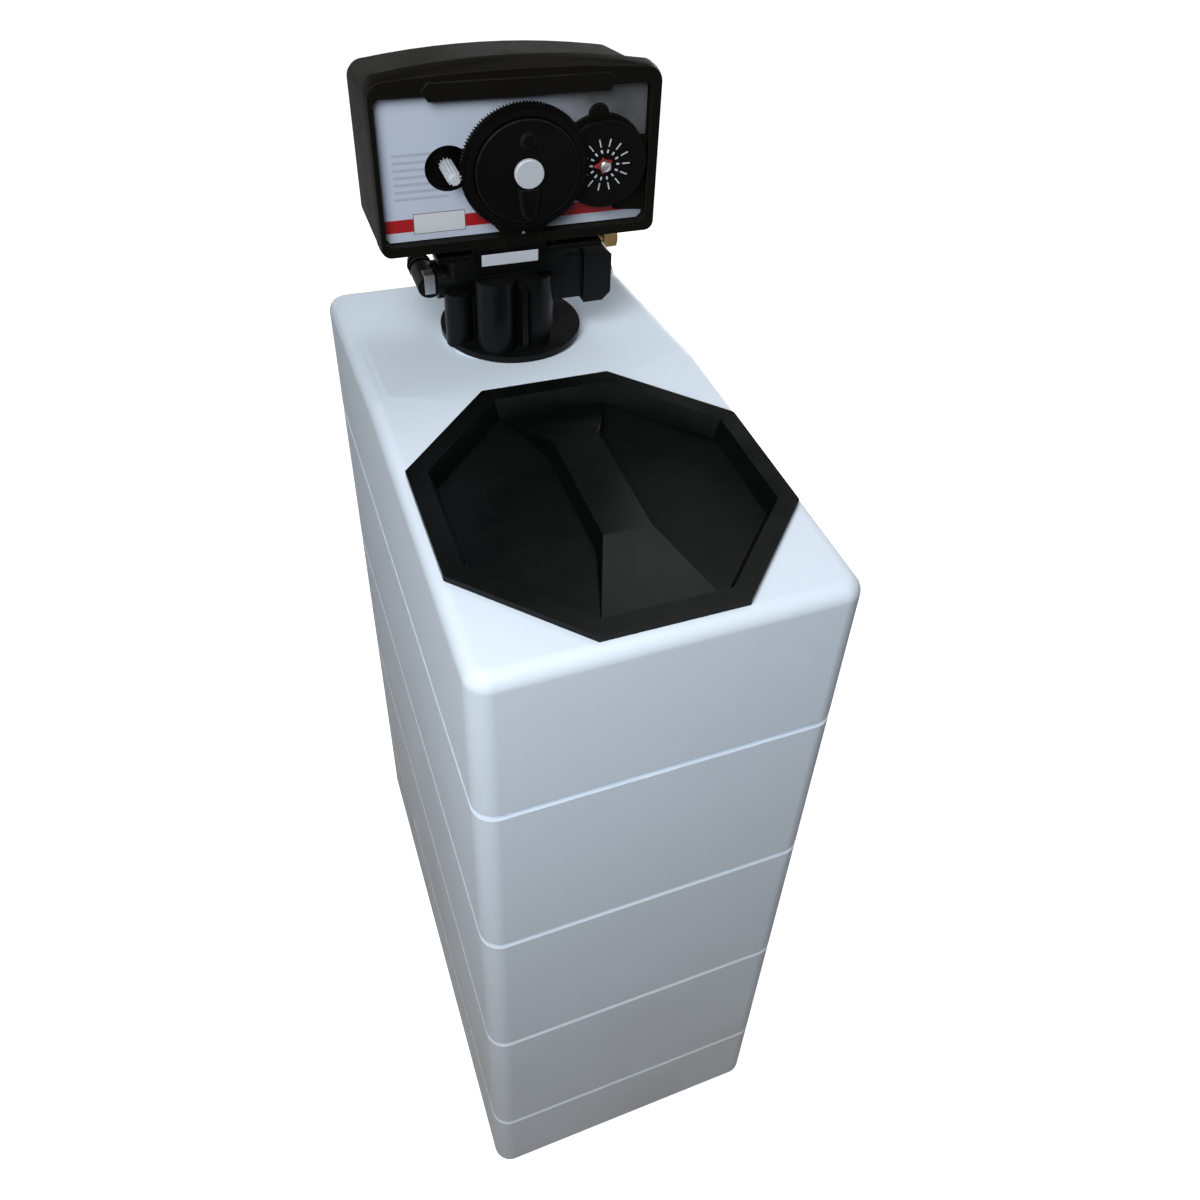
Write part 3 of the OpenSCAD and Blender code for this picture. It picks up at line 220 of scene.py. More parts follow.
class DialLook(bpy.types.PropertyGroup):
    """Marks and pointer of the skip wheel"""

    white: colour("White", "Colour of marks, cap and pinion", (0.53, 0.57, 0.63))
    red: colour("Pointer", "Colour of the pointer", (0.3, 0.012, 0.02))
    marks: IntProperty(name="Marks", description="Marks in each ring of the skip wheel", default=14, min=6,
                       max=24)
    inner: length("Inner ring", "Radius of the inner ring of marks", 0.009, 0.006, 0.014)
    outer: length("Outer ring", "Radius of the outer ring of marks", 0.0146, 0.012, 0.026)


class StageLook(bpy.types.PropertyGroup):
    """Floor, lamps and camera"""

    floor: colour("Floor", "Colour of the floor", (0.9, 0.9, 0.9))
    key: power("Key", "Power of the overhead lamp", 17.6)
    rear: power("Rear", "Power of the rear lamp", 3.4)
    back: power("Back", "Power of the lamp behind", 10.0)
    fill: share("Fill", "Level of the light from all round", 0.06)
    eye: FloatVectorProperty(name="Eye", description="Place of the camera", size=3, subtype="TRANSLATION",
                             default=(-0.185486, -0.566407, 1.037772))
    turn: FloatVectorProperty(name="Turn", description="Turn of the camera", size=3, subtype="EULER",
                              default=tuple(math.radians(a) for a in (49.325, -4.4228, -22.4894)))
    lens: FloatProperty(name="Lens", description="Focal length of the camera", default=32.9166, min=10,
                        max=200, unit="CAMERA")


LOOKS = (("softener_cabinet", CabinetLook), ("softener_head", HeadLook), ("softener_dial", DialLook),
         ("softener_stage", StageLook))


# Shader parts that several finishes share


def add(tree, kind, settings, feeds):
    """Adds a node; a feed is a value, or a socket to link."""
    node = tree.nodes.new(kind)
    for name, value in settings.items():
        setattr(node, name, value)
    for name, value in feeds.items():
        if isinstance(value, bpy.types.NodeSocket):
            tree.links.new(value, node.inputs[name])
        else:
            node.inputs[name].default_value = value
    return node


def maths(tree, operation, a, b=0.0, c=0.0):
    return add(tree, "ShaderNodeMath", {"operation": operation}, {0: a, 1: b, 2: c}).outputs[0]


def blend_colours(tree, mask, first, second):
    first, second = (v if isinstance(v, bpy.types.NodeSocket) else (*v, 1) for v in (first, second))
    return add(tree, "ShaderNodeMix", {"data_type": "RGBA"}, {0: mask, 6: first, 7: second}).outputs[2]


def spread(tree, value, source, target=UNIT):
    """Maps a value from the source range to the target range."""
    return add(tree, "ShaderNodeMapRange", {}, {
        "Value": value, "From Min": source[0], "From Max": source[1],
        "To Min": target[0], "To Max": target[1]}).outputs[0]


def noise(tree, vector, scale, detail, rough):
    return add(tree, "ShaderNodeTexNoise", {},
               {"Vector": vector, "Scale": scale, "Detail": detail, "Roughness": rough}).outputs[0]


def place(tree):
    return tree.nodes.new("ShaderNodeTexCoord").outputs["Object"]


def axes(tree, vector):
    """The X, Y and Z sockets of a vector."""
    return add(tree, "ShaderNodeSeparateXYZ", {}, {0: vector}).outputs


def per(tree, size):
    """The scale of a texture whose forms have this size."""
    return maths(tree, "DIVIDE", 1.0, size)


def shader_group(name, inputs, outputs):
    """A new node group with float sockets; returns its tree, its input sockets and its output sockets."""
    tree = bpy.data.node_groups.new(name, "ShaderNodeTree")
    for label, value in inputs.items():
        put = tree.interface.new_socket(name=label, in_out="INPUT", socket_type="NodeSocketFloat")
        put.default_value = value
    for label in outputs:
        tree.interface.new_socket(name=label, in_out="OUTPUT", socket_type="NodeSocketFloat")
    return tree, tree.nodes.new("NodeGroupInput").outputs, tree.nodes.new("NodeGroupOutput").inputs


def grain_group():
    """Fine moulded grain and broad soft patches."""
    tree, given, out = shader_group("Moulded grain", {"Grain Size": 0.001, "Patch Size": 0.05},
                                    ("Height", "Patches"))
    at = place(tree)
    fine = noise(tree, at, per(tree, given["Grain Size"]), detail=3.0, rough=0.6)
    broad = noise(tree, at, per(tree, given["Patch Size"]), detail=4.0, rough=0.55)
    tree.links.new(fine, out["Height"])
    tree.links.new(spread(tree, broad, NOISE_SPAN), out["Patches"])


def wear_and_highlight_group():
    """Rounded edges, broken up so that they look rubbed by use; the lighter tone there is partly rubbed
    wear and partly a painted highlight.
    """
    tree, given, out = shader_group("Worn edge", {"Amount": 0.5, "Size": 0.01}, ("Mask",))
    edge = add(tree, "ShaderNodeAttribute", {"attribute_name": "worn"}, {}).outputs["Fac"]
    broken = noise(tree, place(tree), per(tree, given["Size"]), detail=3.0, rough=0.6)
    # This mask lightens the edges: partly rubbed wear, partly a painted highlight.
    rubbed = maths(tree, "MULTIPLY", edge, spread(tree, broken, (0.35, 0.65), (0.25, 1.0)))
    tree.links.new(maths(tree, "MULTIPLY", rubbed, given["Amount"]), out["Mask"])


def dust_group():
    """Dust that settles on faces that look up."""
    tree, given, out = shader_group("Settled dust", {"Amount": 0.5, "Size": 0.03}, ("Mask",))
    up = axes(tree, tree.nodes.new("ShaderNodeNewGeometry").outputs["Normal"])["Z"]
    at = place(tree)
    cloud = noise(tree, at, per(tree, given["Size"]), detail=5.0, rough=0.62)
    specks = noise(tree, at, SPECK_SCALE, detail=1.0, rough=0.5)
    lying = maths(tree, "MULTIPLY", spread(tree, up, (0.2, 0.95)), spread(tree, cloud, (0.36, 0.72)))
    speckled = maths(tree, "MULTIPLY", lying, spread(tree, specks, NOISE_SPAN, (0.55, 1.0)))
    tree.links.new(maths(tree, "MULTIPLY", speckled, given["Amount"]), out["Mask"])


def brush_group():
    """Fine lines along X, as left by drawing or turning metal."""
    tree, given, out = shader_group("Drawn lines", {"Line Size": 0.0004}, ("Lines",))
    stretched = add(tree, "ShaderNodeMapping", {}, {"Vector": place(tree), "Scale": (0.06, 1.0, 1.0)})
    lines = noise(tree, stretched.outputs[0], per(tree, given["Line Size"]), detail=2.0, rough=0.6)
    tree.links.new(lines, out["Lines"])


def field_group():
    """A print field: 1 inside a rectangle of the label, 0 outside."""
    tree, given, out = shader_group("Print field", {"X": 0, "Z": 0, "Half X": 0.01, "Half Z": 0.01},
                                    ("Mask",))
    at = axes(tree, place(tree))
    across = maths(tree, "COMPARE", at["X"], given["X"], given["Half X"])
    upright = maths(tree, "COMPARE", at["Z"], given["Z"], given["Half Z"])
    tree.links.new(maths(tree, "MULTIPLY", across, upright), out["Mask"])


def use_group(tree, name, **values):
    """Places a shared group with its own values; returns its output sockets."""
    node = tree.nodes.new("ShaderNodeGroup")
    node.node_tree = bpy.data.node_groups[name]
    for label, value in values.items():
        node.inputs[label.replace("_", " ")].default_value = value
    return node.outputs


# Finishes


def shade(tone, level):
    """A tone made darker or lighter."""
    return [min(1.0, v * level) for v in tone]


def blank_finish(name, **values):
    """A new material; returns its tree and its Principled shader."""
    material = bpy.data.materials.new(name)
    material.use_nodes = True
    shader = material.node_tree.nodes["Principled BSDF"]
    for label, value in values.items():
        shader.inputs[label.replace("_", " ")].default_value = value
    finishes[name] = material
    return material.node_tree, shader


def dress(tree, shader, tone, dullness, relief, strength, depth, invert=False):
    """Feeds colour, roughness and relief to a shader."""
    bump = add(tree, "ShaderNodeBump", {"invert": invert},
               {"Strength": strength, "Distance": depth, "Height": relief})
    tree.links.new(tone, shader.inputs["Base Color"])
    tree.links.new(dullness, shader.inputs["Roughness"])
    tree.links.new(bump.outputs[0], shader.inputs["Normal"])


def moulded(name, light, dark, rough, grain=0.0008, patch=0.04, depth=0.00003, gloss=0.5, worn=None,
            dust=None):
    """Moulded plastic: patches of two tones, fine grain, edges lightened by rubbed wear and a painted
    highlight, and settled dust.
    """
    tree, shader = blank_finish(name, Specular_IOR_Level=gloss)
    form = use_group(tree, "Moulded grain", Grain_Size=grain, Patch_Size=patch)
    tone = blend_colours(tree, form["Patches"], dark, light)
    dullness = spread(tree, form["Patches"], UNIT, rough)
    if worn:
        mask = use_group(tree, "Worn edge", Amount=worn.amount, Size=worn.size)["Mask"]
        tone = blend_colours(tree, mask, tone, worn.tone)
    if dust:
        mask = use_group(tree, "Settled dust", Amount=dust.amount, Size=dust.size)["Mask"]
        tone = blend_colours(tree, mask, tone, dust.tone)
        dullness = maths(tree, "ADD", dullness, maths(tree, "MULTIPLY", mask, DUST_DULLING))
    dress(tree, shader, tone, dullness, form["Height"], strength=1.0, depth=depth)


def metal(name, light, dark, rough, line=0.0004, patch=0.012):
    """Metal with fine lines and a slight stain."""
    tree, shader = blank_finish(name, Metallic=1.0)
    lines = use_group(tree, "Drawn lines", Line_Size=line)["Lines"]
    stain = use_group(tree, "Moulded grain", Grain_Size=0.001, Patch_Size=patch)["Patches"]
    tone = blend_colours(tree, stain, dark, light)
    dress(tree, shader, tone, spread(tree, lines, NOISE_SPAN, rough), lines, strength=0.25, depth=0.00001)


def cabinet_finish(look):
    """White moulded skin: orange-peel grain, and painted shade that darkens it towards the foot."""
    tree, shader = blank_finish("cabinet white", Specular_IOR_Level=0.2)
    form = use_group(tree, "Moulded grain", Grain_Size=look.grain, Patch_Size=0.11)
    # Painted shade: the white darkens towards the foot of the cabinet.
    near_foot = spread(tree, axes(tree, place(tree))["Z"], (0.0, FOOT_SHADE_HEIGHT), (1.0, 0.0))
    foot_shade_mask = maths(tree, "MULTIPLY", near_foot, spread(tree, form["Patches"], UNIT, (0.6, 1.0)))
    mottled = blend_colours(tree, form["Patches"], shade(look.white, 0.965), look.white)
    tone = blend_colours(tree, foot_shade_mask, mottled, look.foot_shade)
    # Painted highlight: the rounded edges and groove lips are lighter than the white.
    edge_highlight = use_group(tree, "Worn edge", Amount=0.5, Size=0.02)["Mask"]
    tone = blend_colours(tree, edge_highlight, tone, shade(look.white, 1.06))
    dullness = spread(tree, form["Patches"], UNIT, (0.48, 0.58))
    dress(tree, shader, tone, dullness, form["Height"], strength=1.0, depth=0.00009)


def label_bars(tree, at):
    """Rows of plain bars with ragged right ends; returns their mask."""
    row = maths(tree, "DIVIDE", maths(tree, "SUBTRACT", at["Z"], BAR_FOOT), BAR_PITCH)
    in_row = maths(tree, "COMPARE", maths(tree, "FRACT", row), 0.5, BAR_HALF)
    ragged = add(tree, "ShaderNodeTexWhiteNoise", {"noise_dimensions": "1D"},
                 {"W": maths(tree, "FLOOR", row)}).outputs[0]
    end = maths(tree, "ADD", maths(tree, "MULTIPLY", ragged, BAR_RAGGED), BAR_END)
    kept = maths(tree, "MULTIPLY", in_row, maths(tree, "LESS_THAN", at["X"], end))
    return maths(tree, "MULTIPLY", kept, use_group(tree, "Print field", **BAR_FIELD)["Mask"])


def label_finish(look):
    """Printed film: silver darkened by painted shade towards the upper right, rows of bars, a stripe and a
    bordered patch.
    """
    tree, shader = blank_finish("label print", Specular_IOR_Level=0.45)
    at = axes(tree, place(tree))
    form = use_group(tree, "Moulded grain", Grain_Size=0.0006, Patch_Size=0.03)
    slant = maths(tree, "ADD", at["X"], maths(tree, "MULTIPLY", at["Z"], LABEL_SLOPE))
    # Painted shade: the silver darkens along a slant towards the upper right.
    tone = blend_colours(tree, spread(tree, slant, LABEL_SHADE_SPAN), look.silver, look.silver_in_shade)
    tone = blend_colours(tree, maths(tree, "MULTIPLY", form["Patches"], SHEEN_SHARE), tone, LABEL_SHEEN)
    tone = blend_colours(tree, maths(tree, "MULTIPLY", label_bars(tree, at), BAR_SHARE), tone, BAR_TONE)
    stripe = use_group(tree, "Print field", X=0.0, Z=look.stripe_height, Half_X=STRIPE_REACH,
                       Half_Z=look.stripe_width / 2)
    tone = blend_colours(tree, stripe["Mask"], tone, look.stripe)
    for rim, ink in ((PATCH_BORDER, BORDER_TONE), (0.0, PATCH_TONE)):
        patch = use_group(tree, "Print field", X=PATCH_X, Z=PATCH_Z, Half_X=PATCH_HALVES[0] + rim,
                          Half_Z=PATCH_HALVES[1] + rim)
        tone = blend_colours(tree, patch["Mask"], tone, ink)
    dullness = spread(tree, form["Patches"], UNIT, (0.3, 0.38))
    dress(tree, shader, tone, dullness, form["Height"], strength=0.5, depth=0.00001)


def wound_finish():
    """Glass fibre wound on the tank in two crossing layers under resin."""
    tree, shader = blank_finish("fibre winding", Specular_IOR_Level=0.5, Coat_Weight=0.3)
    low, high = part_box("resin_tank")
    at = axes(tree, place(tree))
    round_it = maths(tree, "ARCTAN2", maths(tree, "SUBTRACT", at["Y"], (low.y + high.y) / 2), at["X"])
    along = maths(tree, "MULTIPLY", at["Z"], WINDING_RISE)
    waves = []
    for turns in (WINDING_TURNS, -WINDING_TURNS):
        layer = maths(tree, "ADD", maths(tree, "MULTIPLY", round_it, turns), along)
        waves.append(maths(tree, "SINE", maths(tree, "MULTIPLY", layer, WINDING_STRANDS)))
    weave = spread(tree, maths(tree, "MAXIMUM", waves[0], waves[1]), (-1.0, 1.0))
    patches = use_group(tree, "Moulded grain", Grain_Size=0.001, Patch_Size=0.06)["Patches"]
    lit = maths(tree, "MULTIPLY", weave, patches)
    tone = blend_colours(tree, lit, (0.03, 0.05, 0.075), (0.06, 0.1, 0.14))
    dress(tree, shader, tone, spread(tree, weave, UNIT, (0.5, 0.32)), weave, strength=0.8, depth=0.0004)


def bead_finish():
    """Amber resin beads, with painted shade that darkens each bead from its middle to its rim."""
    tree, shader = blank_finish("resin beads", Specular_IOR_Level=0.5)
    beads = add(tree, "ShaderNodeTexVoronoi", {}, {"Vector": place(tree), "Scale": BEAD_SCALE})
    from_middle = beads.outputs["Distance"]
    # Painted shade: lighter in the middle of each bead, darker towards the rims between beads.
    tone = blend_colours(tree, from_middle, (0.5, 0.22, 0.04), (0.2, 0.07, 0.015))
    dullness = spread(tree, from_middle, UNIT, (0.25, 0.6))
    dress(tree, shader, tone, dullness, from_middle, strength=0.9, depth=0.0005, invert=True)


def black_plastics(cabinet, head):
    """Finishes of the lid, the valve, the head, the timer and the rubber pieces."""
    lid, black, worn = tuple(cabinet.lid_black), tuple(head.black), tuple(head.worn)
    # The lighter edges of these finishes are partly rubbed wear and partly a painted highlight.
    moulded("lid black", lid, shade(lid, 0.7), (0.24, 0.32), grain=0.0012, patch=0.035, gloss=0.15,
            worn=Cover((0.055, 0.059, 0.06), amount=0.8, size=0.03),
            dust=Cover(tuple(cabinet.lid_dust), amount=0.1, size=0.05))
    moulded("valve black", (0.0036, 0.0038, 0.004), (0.0022, 0.0024, 0.0025), (0.28, 0.42), grain=0.0007,
            patch=0.02, depth=0.00004, gloss=0.16, worn=Cover(worn, amount=0.5, size=0.008),
            dust=Cover(worn, amount=0.12, size=0.02))
    moulded("head black", black, shade(black, 0.75), (0.44, 0.54), grain=0.0006, patch=0.06, depth=0.00002,
            gloss=0.07, worn=Cover(worn, amount=0.4, size=0.015),
            dust=Cover((0.02, 0.018, 0.014), amount=0.3, size=0.06))
    moulded("timer black", (0.0026, 0.0026, 0.0027), (0.0016, 0.0016, 0.0017), (0.38, 0.5), grain=0.0005,
            patch=0.02, depth=0.00001, gloss=0.08, worn=Cover(worn, amount=0.35, size=0.006))
    moulded("rubber", (0.008, 0.008, 0.008), (0.004, 0.004, 0.004), (0.6, 0.75), grain=0.0006, patch=0.02,
            depth=0.00004, gloss=0.3, worn=Cover(worn, amount=0.4, size=0.01),
            dust=Cover((0.04, 0.04, 0.04), amount=0.3, size=0.02))


def coloured_plastics(dial):
    """Finishes of the pale, red and blue plastic pieces."""
    white, red = tuple(dial.white), tuple(dial.red)
    # The lighter edges of the white and red pieces are partly rubbed wear and partly a painted highlight.
    moulded("plain white", white, shade(white, 0.93), (0.35, 0.45), grain=0.0005, patch=0.015,
            depth=0.00001, gloss=0.45, worn=Cover((0.8, 0.82, 0.84), amount=0.4, size=0.004))
    moulded("mark white", shade(white, 1.15), white, (0.5, 0.6), grain=0.0003, patch=0.004, depth=0.000005,
            gloss=0.3)
    moulded("pointer red", red, shade(red, 0.7), (0.3, 0.4), grain=0.0005, patch=0.006, depth=0.00001,
            worn=Cover((0.5, 0.06, 0.06), amount=0.4, size=0.003))
    moulded("pipe grey", (0.36, 0.36, 0.38), (0.3, 0.3, 0.32), (0.4, 0.5), patch=0.03, depth=0.00002)
    moulded("blue plastic", (0.02, 0.05, 0.14), (0.014, 0.035, 0.1), (0.35, 0.45), grain=0.0007, patch=0.02,
            depth=0.00002)
    moulded("nylon", (0.6, 0.56, 0.44), (0.52, 0.48, 0.36), (0.36, 0.48), grain=0.0006, patch=0.02,
            depth=0.00001)


def metals():
    """Finishes of screws, clips, rods, the brass fittings and the motor."""
    metal("bright steel", (0.72, 0.73, 0.74), (0.62, 0.63, 0.65), (0.26, 0.34))
    metal("brass", (0.4, 0.27, 0.11), (0.26, 0.17, 0.07), (0.3, 0.48))
    metal("motor case", (0.25, 0.25, 0.26), (0.18, 0.18, 0.19), (0.32, 0.5), line=0.0006, patch=0.02)


# Pieces


def new_piece(name, data):
    """A new object of a mesh, a lamp or a camera, in the scene."""
    piece = bpy.data.objects.new(name, data)
    bpy.context.scene.collection.objects.link(piece)
    return piece


def settle(piece):
    """Turns a piece with its modifiers into a plain mesh; returns the mesh."""
    made = bpy.data.meshes.new_from_object(piece.evaluated_get(bpy.context.evaluated_depsgraph_get()))
    piece.modifiers.clear()
    piece.data = made
    if not made.polygons:
        raise RuntimeError(piece.name + " came out empty")
    return made


def mesh_of(form, name):
    """Writes a bmesh to a new mesh and frees it."""
    mesh = bpy.data.meshes.new(name)
    form.to_mesh(mesh)
    form.free()
    return mesh


def stand_for(piece, *names):
    """The piece takes the place and the body of these nodes."""
    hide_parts(*names)
    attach(piece, node_body[names[0]])
    return piece


def rounded(node, finish, edge=0.0005, crease=38.0, steps=2):
    """Puts a merged copy in a node's place; edges past the crease angle are rounded and marked for rubbed
    wear and painted highlight.
    """
    form = bmesh.new()
    form.from_mesh(nodes[node].data)
    bmesh.ops.remove_doubles(form, verts=form.verts[:], dist=MERGE_DISTANCE)
    bmesh.ops.dissolve_limit(form, angle_limit=FLAT_ANGLE, verts=form.verts[:], edges=form.edges[:])
    mesh = mesh_of(form, node + "_finished")
    for _ in range(2):
        mesh.materials.append(finishes[finish])
    mesh.polygons.foreach_set("material_index", [0] * len(mesh.polygons))
    mesh.shade_smooth()
    piece = new_piece(node + "_finished", mesh)
    bevel = piece.modifiers.new("Rounded edges", "BEVEL")
    bevel.width = edge
    bevel.segments = steps
    bevel.limit_method = "ANGLE"
    bevel.angle_limit = math.radians(crease)
    bevel.material = 1
    even = piece.modifiers.new("Even shading", "WEIGHTED_NORMAL")
    even.mode = "FACE_AREA"
    even.weight = 100
    made = settle(piece)
    worn = [float(p.material_index) for p in made.polygons]
    made.attributes.new("worn", "FLOAT", "FACE").data.foreach_set("value", worn)
    made.polygons.foreach_set("material_index", [0] * len(made.polygons))
    made.materials.pop(index=1)
    return stand_for(piece, node)


def paint(finish, *names):
    """Gives nodes that keep their own mesh a finish."""
    for name in names:
        mesh = nodes[name].data
        mesh.materials.clear()
        mesh.materials.append(finishes[finish])


def from_tree(name, tree, values, mesh=None):
    """Runs a geometry node tree and returns its result as a plain mesh object at the origin."""
    piece = new_piece(name, mesh or bpy.data.meshes.new(name))
    modifier = piece.modifiers.new("Build", "NODES")
    modifier.node_group = tree
    names = {s.name: s.identifier for s in tree.interface.items_tree if s.in_out == "INPUT"}
    for label, value in values.items():
        modifier[names[label]] = value
    settle(piece)
    return piece


def geometry_tree(name, inputs):
    """A new geometry node tree with named inputs; returns it, its input sockets and its output socket."""
    tree = bpy.data.node_groups.new(name, "GeometryNodeTree")
    for label, kind in inputs:
        tree.interface.new_socket(name=label, in_out="INPUT", socket_type="NodeSocket" + kind)
    tree.interface.new_socket(name="Geometry", in_out="OUTPUT", socket_type="NodeSocketGeometry")
    return tree, tree.nodes.new("NodeGroupInput").outputs, tree.nodes.new("NodeGroupOutput").inputs[0]


def close_tree(tree, shape, finish, out):
    """Ends a tree in Realize Instances and Set Material."""
    real = add(tree, "GeometryNodeRealizeInstances", {}, {0: shape})
    painted = add(tree, "GeometryNodeSetMaterial", {}, {"Geometry": real.outputs[0], "Material": finish})
    tree.links.new(painted.outputs[0], out)


def mark_ring_tree():
    """A ring of rounded marks in the X-Z plane that point away from its middle."""
    tree, given, out = geometry_tree("Mark ring", (
        ("Count", "Int"), ("Radius", "Float"), ("Length", "Float"), ("Width", "Float"),
        ("Thickness", "Float"), ("Middle", "Vector"), ("Finish", "Material")))
    bar = add(tree, "GeometryNodeCurvePrimitiveQuadrilateral", {},
              {"Width": given["Length"], "Height": given["Width"]})
    corner = maths(tree, "MULTIPLY", given["Width"], MARK_CORNER)
    soft = add(tree, "GeometryNodeFilletCurve", {"mode": "POLY"},
               {"Curve": bar.outputs[0], "Radius": corner, "Count": MARK_CORNER_STEPS})
    flat = add(tree, "GeometryNodeFillCurve", {}, {0: soft.outputs[0]})
    thick = add(tree, "GeometryNodeExtrudeMesh", {},
                {"Mesh": flat.outputs[0], "Offset Scale": given["Thickness"], "Individual": False})
    points = add(tree, "GeometryNodeMeshCircle", {},
                 {"Vertices": given["Count"], "Radius": given["Radius"]})
    spot = tree.nodes.new("GeometryNodeInputPosition").outputs[0]
    facing = add(tree, "FunctionNodeAlignRotationToVector", {"axis": "X"}, {"Vector": spot})
    ring = add(tree, "GeometryNodeInstanceOnPoints", {},
               {"Points": points.outputs[0], "Instance": thick.outputs[0], "Rotation": facing.outputs[0]})
    upright = Euler((math.pi / 2, 0, 0))
    stood = add(tree, "GeometryNodeTransform", {},
                {"Geometry": ring.outputs[0], "Rotation": upright, "Translation": given["Middle"]})
    close_tree(tree, stood.outputs[0], given["Finish"], out)
    return tree


def screw_set_tree():
    """One screw on each point, turned to its facing and scaled to its head."""
    tree, given, out = geometry_tree("Screw set", (
        ("Places", "Geometry"), ("Screw", "Object"), ("Finish", "Material")))
    screw = add(tree, "GeometryNodeObjectInfo", {}, {"Object": given["Screw"]})
    read = {}
    for name in ("facing", "size"):
        read[name] = add(tree, "GeometryNodeInputNamedAttribute", {"data_type": "FLOAT_VECTOR"},
                         {"Name": name}).outputs[0]
    facing = add(tree, "FunctionNodeAlignRotationToVector", {"axis": "Z"}, {"Vector": read["facing"]})
    screws = add(tree, "GeometryNodeInstanceOnPoints", {},
                 {"Points": given["Places"], "Instance": screw.outputs["Geometry"],
                  "Rotation": facing.outputs[0], "Scale": read["size"]})
    close_tree(tree, screws.outputs[0], given["Finish"], out)
    return tree


def coil_tree():
    """A round wire wound into a coil that stands on its middle."""
    tree, given, out = geometry_tree("Coil", (
        ("Turns", "Float"), ("Radius", "Float"), ("Height", "Float"), ("Wire", "Float"),
        ("Middle", "Vector"), ("Finish", "Material")))
    line = add(tree, "GeometryNodeCurveSpiral", {},
               {"Resolution": 36, "Rotations": given["Turns"], "Start Radius": given["Radius"],
                "End Radius": given["Radius"], "Height": given["Height"]})
    wire = add(tree, "GeometryNodeCurvePrimitiveCircle", {}, {"Resolution": 12, "Radius": given["Wire"]})
    coil = add(tree, "GeometryNodeCurveToMesh", {},
               {"Curve": line.outputs[0], "Profile Curve": wire.outputs[0], "Fill Caps": True})
    stood = add(tree, "GeometryNodeTransform", {},
                {"Geometry": coil.outputs[0], "Translation": given["Middle"]})
    close_tree(tree, stood.outputs[0], given["Finish"], out)
    return tree


def lathe(outline, steps):
    """A closed form turned about Z from (radius, height) pairs."""
    form = bmesh.new()
    angles = [math.tau * k / steps for k in range(steps)]
    rings = []
    for r, z in outline:
        spots = [(r * math.cos(a), r * math.sin(a), z) for a in angles] if r else [(0, 0, z)]
        rings.append([form.verts.new(spot) for spot in spots])
    for low, high in zip(rings, rings[1:]):
        for k in range(steps):
            j = (k + 1) % steps
            ring = [low[k % len(low)], low[j % len(low)], high[j % len(high)], high[k % len(high)]]
            form.faces.new(list(dict.fromkeys(ring)))
    bmesh.ops.recalc_face_normals(form, faces=form.faces[:])
    return form


def cut_cross(piece):
    """Cuts two crossing slots that narrow downwards into a screw's head."""
    tool = bmesh.new()
    for turn in (0, math.pi / 2):
        slot = bmesh.ops.create_cube(tool, size=1)["verts"]
        bmesh.ops.scale(tool, vec=SLOT_SIZE, verts=slot)
        bmesh.ops.translate(tool, vec=(0, 0, SLOT_MIDDLE), verts=slot)
        for v in slot:
            if v.co.z < SLOT_MIDDLE:
                v.co.x *= SLOT_FOOT[0]
                v.co.y *= SLOT_FOOT[1]
        bmesh.ops.rotate(tool, cent=(0, 0, 0), matrix=Matrix.Rotation(turn, 3, "Z"), verts=slot)
    cutter = new_piece(piece.name + "_cross", mesh_of(tool, piece.name + "_cross"))
    boolean = piece.modifiers.new("Cross", "BOOLEAN")
    boolean.object = cutter
    boolean.solver = "EXACT"
    boolean.use_self = True
    settle(piece)
    bpy.data.objects.remove(cutter)


def screw_template(name, outline, steps, cross):
    """A screw of head radius 1 and head height 1 that stands on the X-Y plane."""
    piece = new_piece(name, mesh_of(lathe(outline, steps), name))
    if cross:
        cut_cross(piece)
    piece.data.shade_smooth()
    piece.data.set_sharp_from_angle(angle=SCREW_CREASE)
    return piece


def screws(tree, template, node, radius, height, seats):
    """Screws in the places of a node's fasteners."""
    points = bpy.data.meshes.new(node + "_places")
    points.from_pydata([spot for spot, _ in seats], [], [])
    facings = [facing for _, facing in seats]
    sizes = [(radius, radius, height)] * len(seats)
    for name, value in (("facing", facings), ("size", sizes)):
        flat = [x for v in value for x in v]
        points.attributes.new(name, "FLOAT_VECTOR", "POINT").data.foreach_set("vector", flat)
    values = {"Screw": template, "Finish": finishes["bright steel"]}
    return stand_for(from_tree(node + "_finished", tree, values, points), node)


# Operators


class Step(bpy.types.Operator):
    """One step of the build"""

    bl_options = {"REGISTER", "UNDO"}


class SOFTENER_OT_finishes(Step):
    """Make the shared shader groups and the finishes of all pieces"""

    bl_idname = "softener.finishes"
    bl_label = "Finishes"

    def execute(self, context):
        cabinet, head, dial = (getattr(context.scene, name) for name, _ in LOOKS[:3])
        for make in (grain_group, wear_and_highlight_group, dust_group, brush_group, field_group):
            make()
        cabinet_finish(cabinet)
        label_finish(head)
        wound_finish()
        bead_finish()
        black_plastics(cabinet, head)
        coloured_plastics(dial)
        metals()
        return {"FINISHED"}


class SOFTENER_OT_cabinet(Step):
    """Finish the grooved cabinet and its overflow fitting"""

    bl_idname = "softener.cabinet"
    bl_label = "Cabinet"

    def execute(self, context):
        edge = context.scene.softener_cabinet.groove_edge
        rounded("cabinet_shell", "cabinet white", edge, crease=40, steps=4)
        rounded("overflow_elbow", "valve black", edge=0.0006)
        rounded("overflow_nut", "valve black", edge=0.0006)
        return {"FINISHED"}


class SOFTENER_OT_lid(Step):
    """Finish the eight-sided salt lid"""

    bl_idname = "softener.lid"
    bl_label = "Salt lid"

    def execute(self, context):
        rounded("salt_lid", "lid black", context.scene.softener_cabinet.lid_edge, crease=20, steps=3)
        return {"FINISHED"}


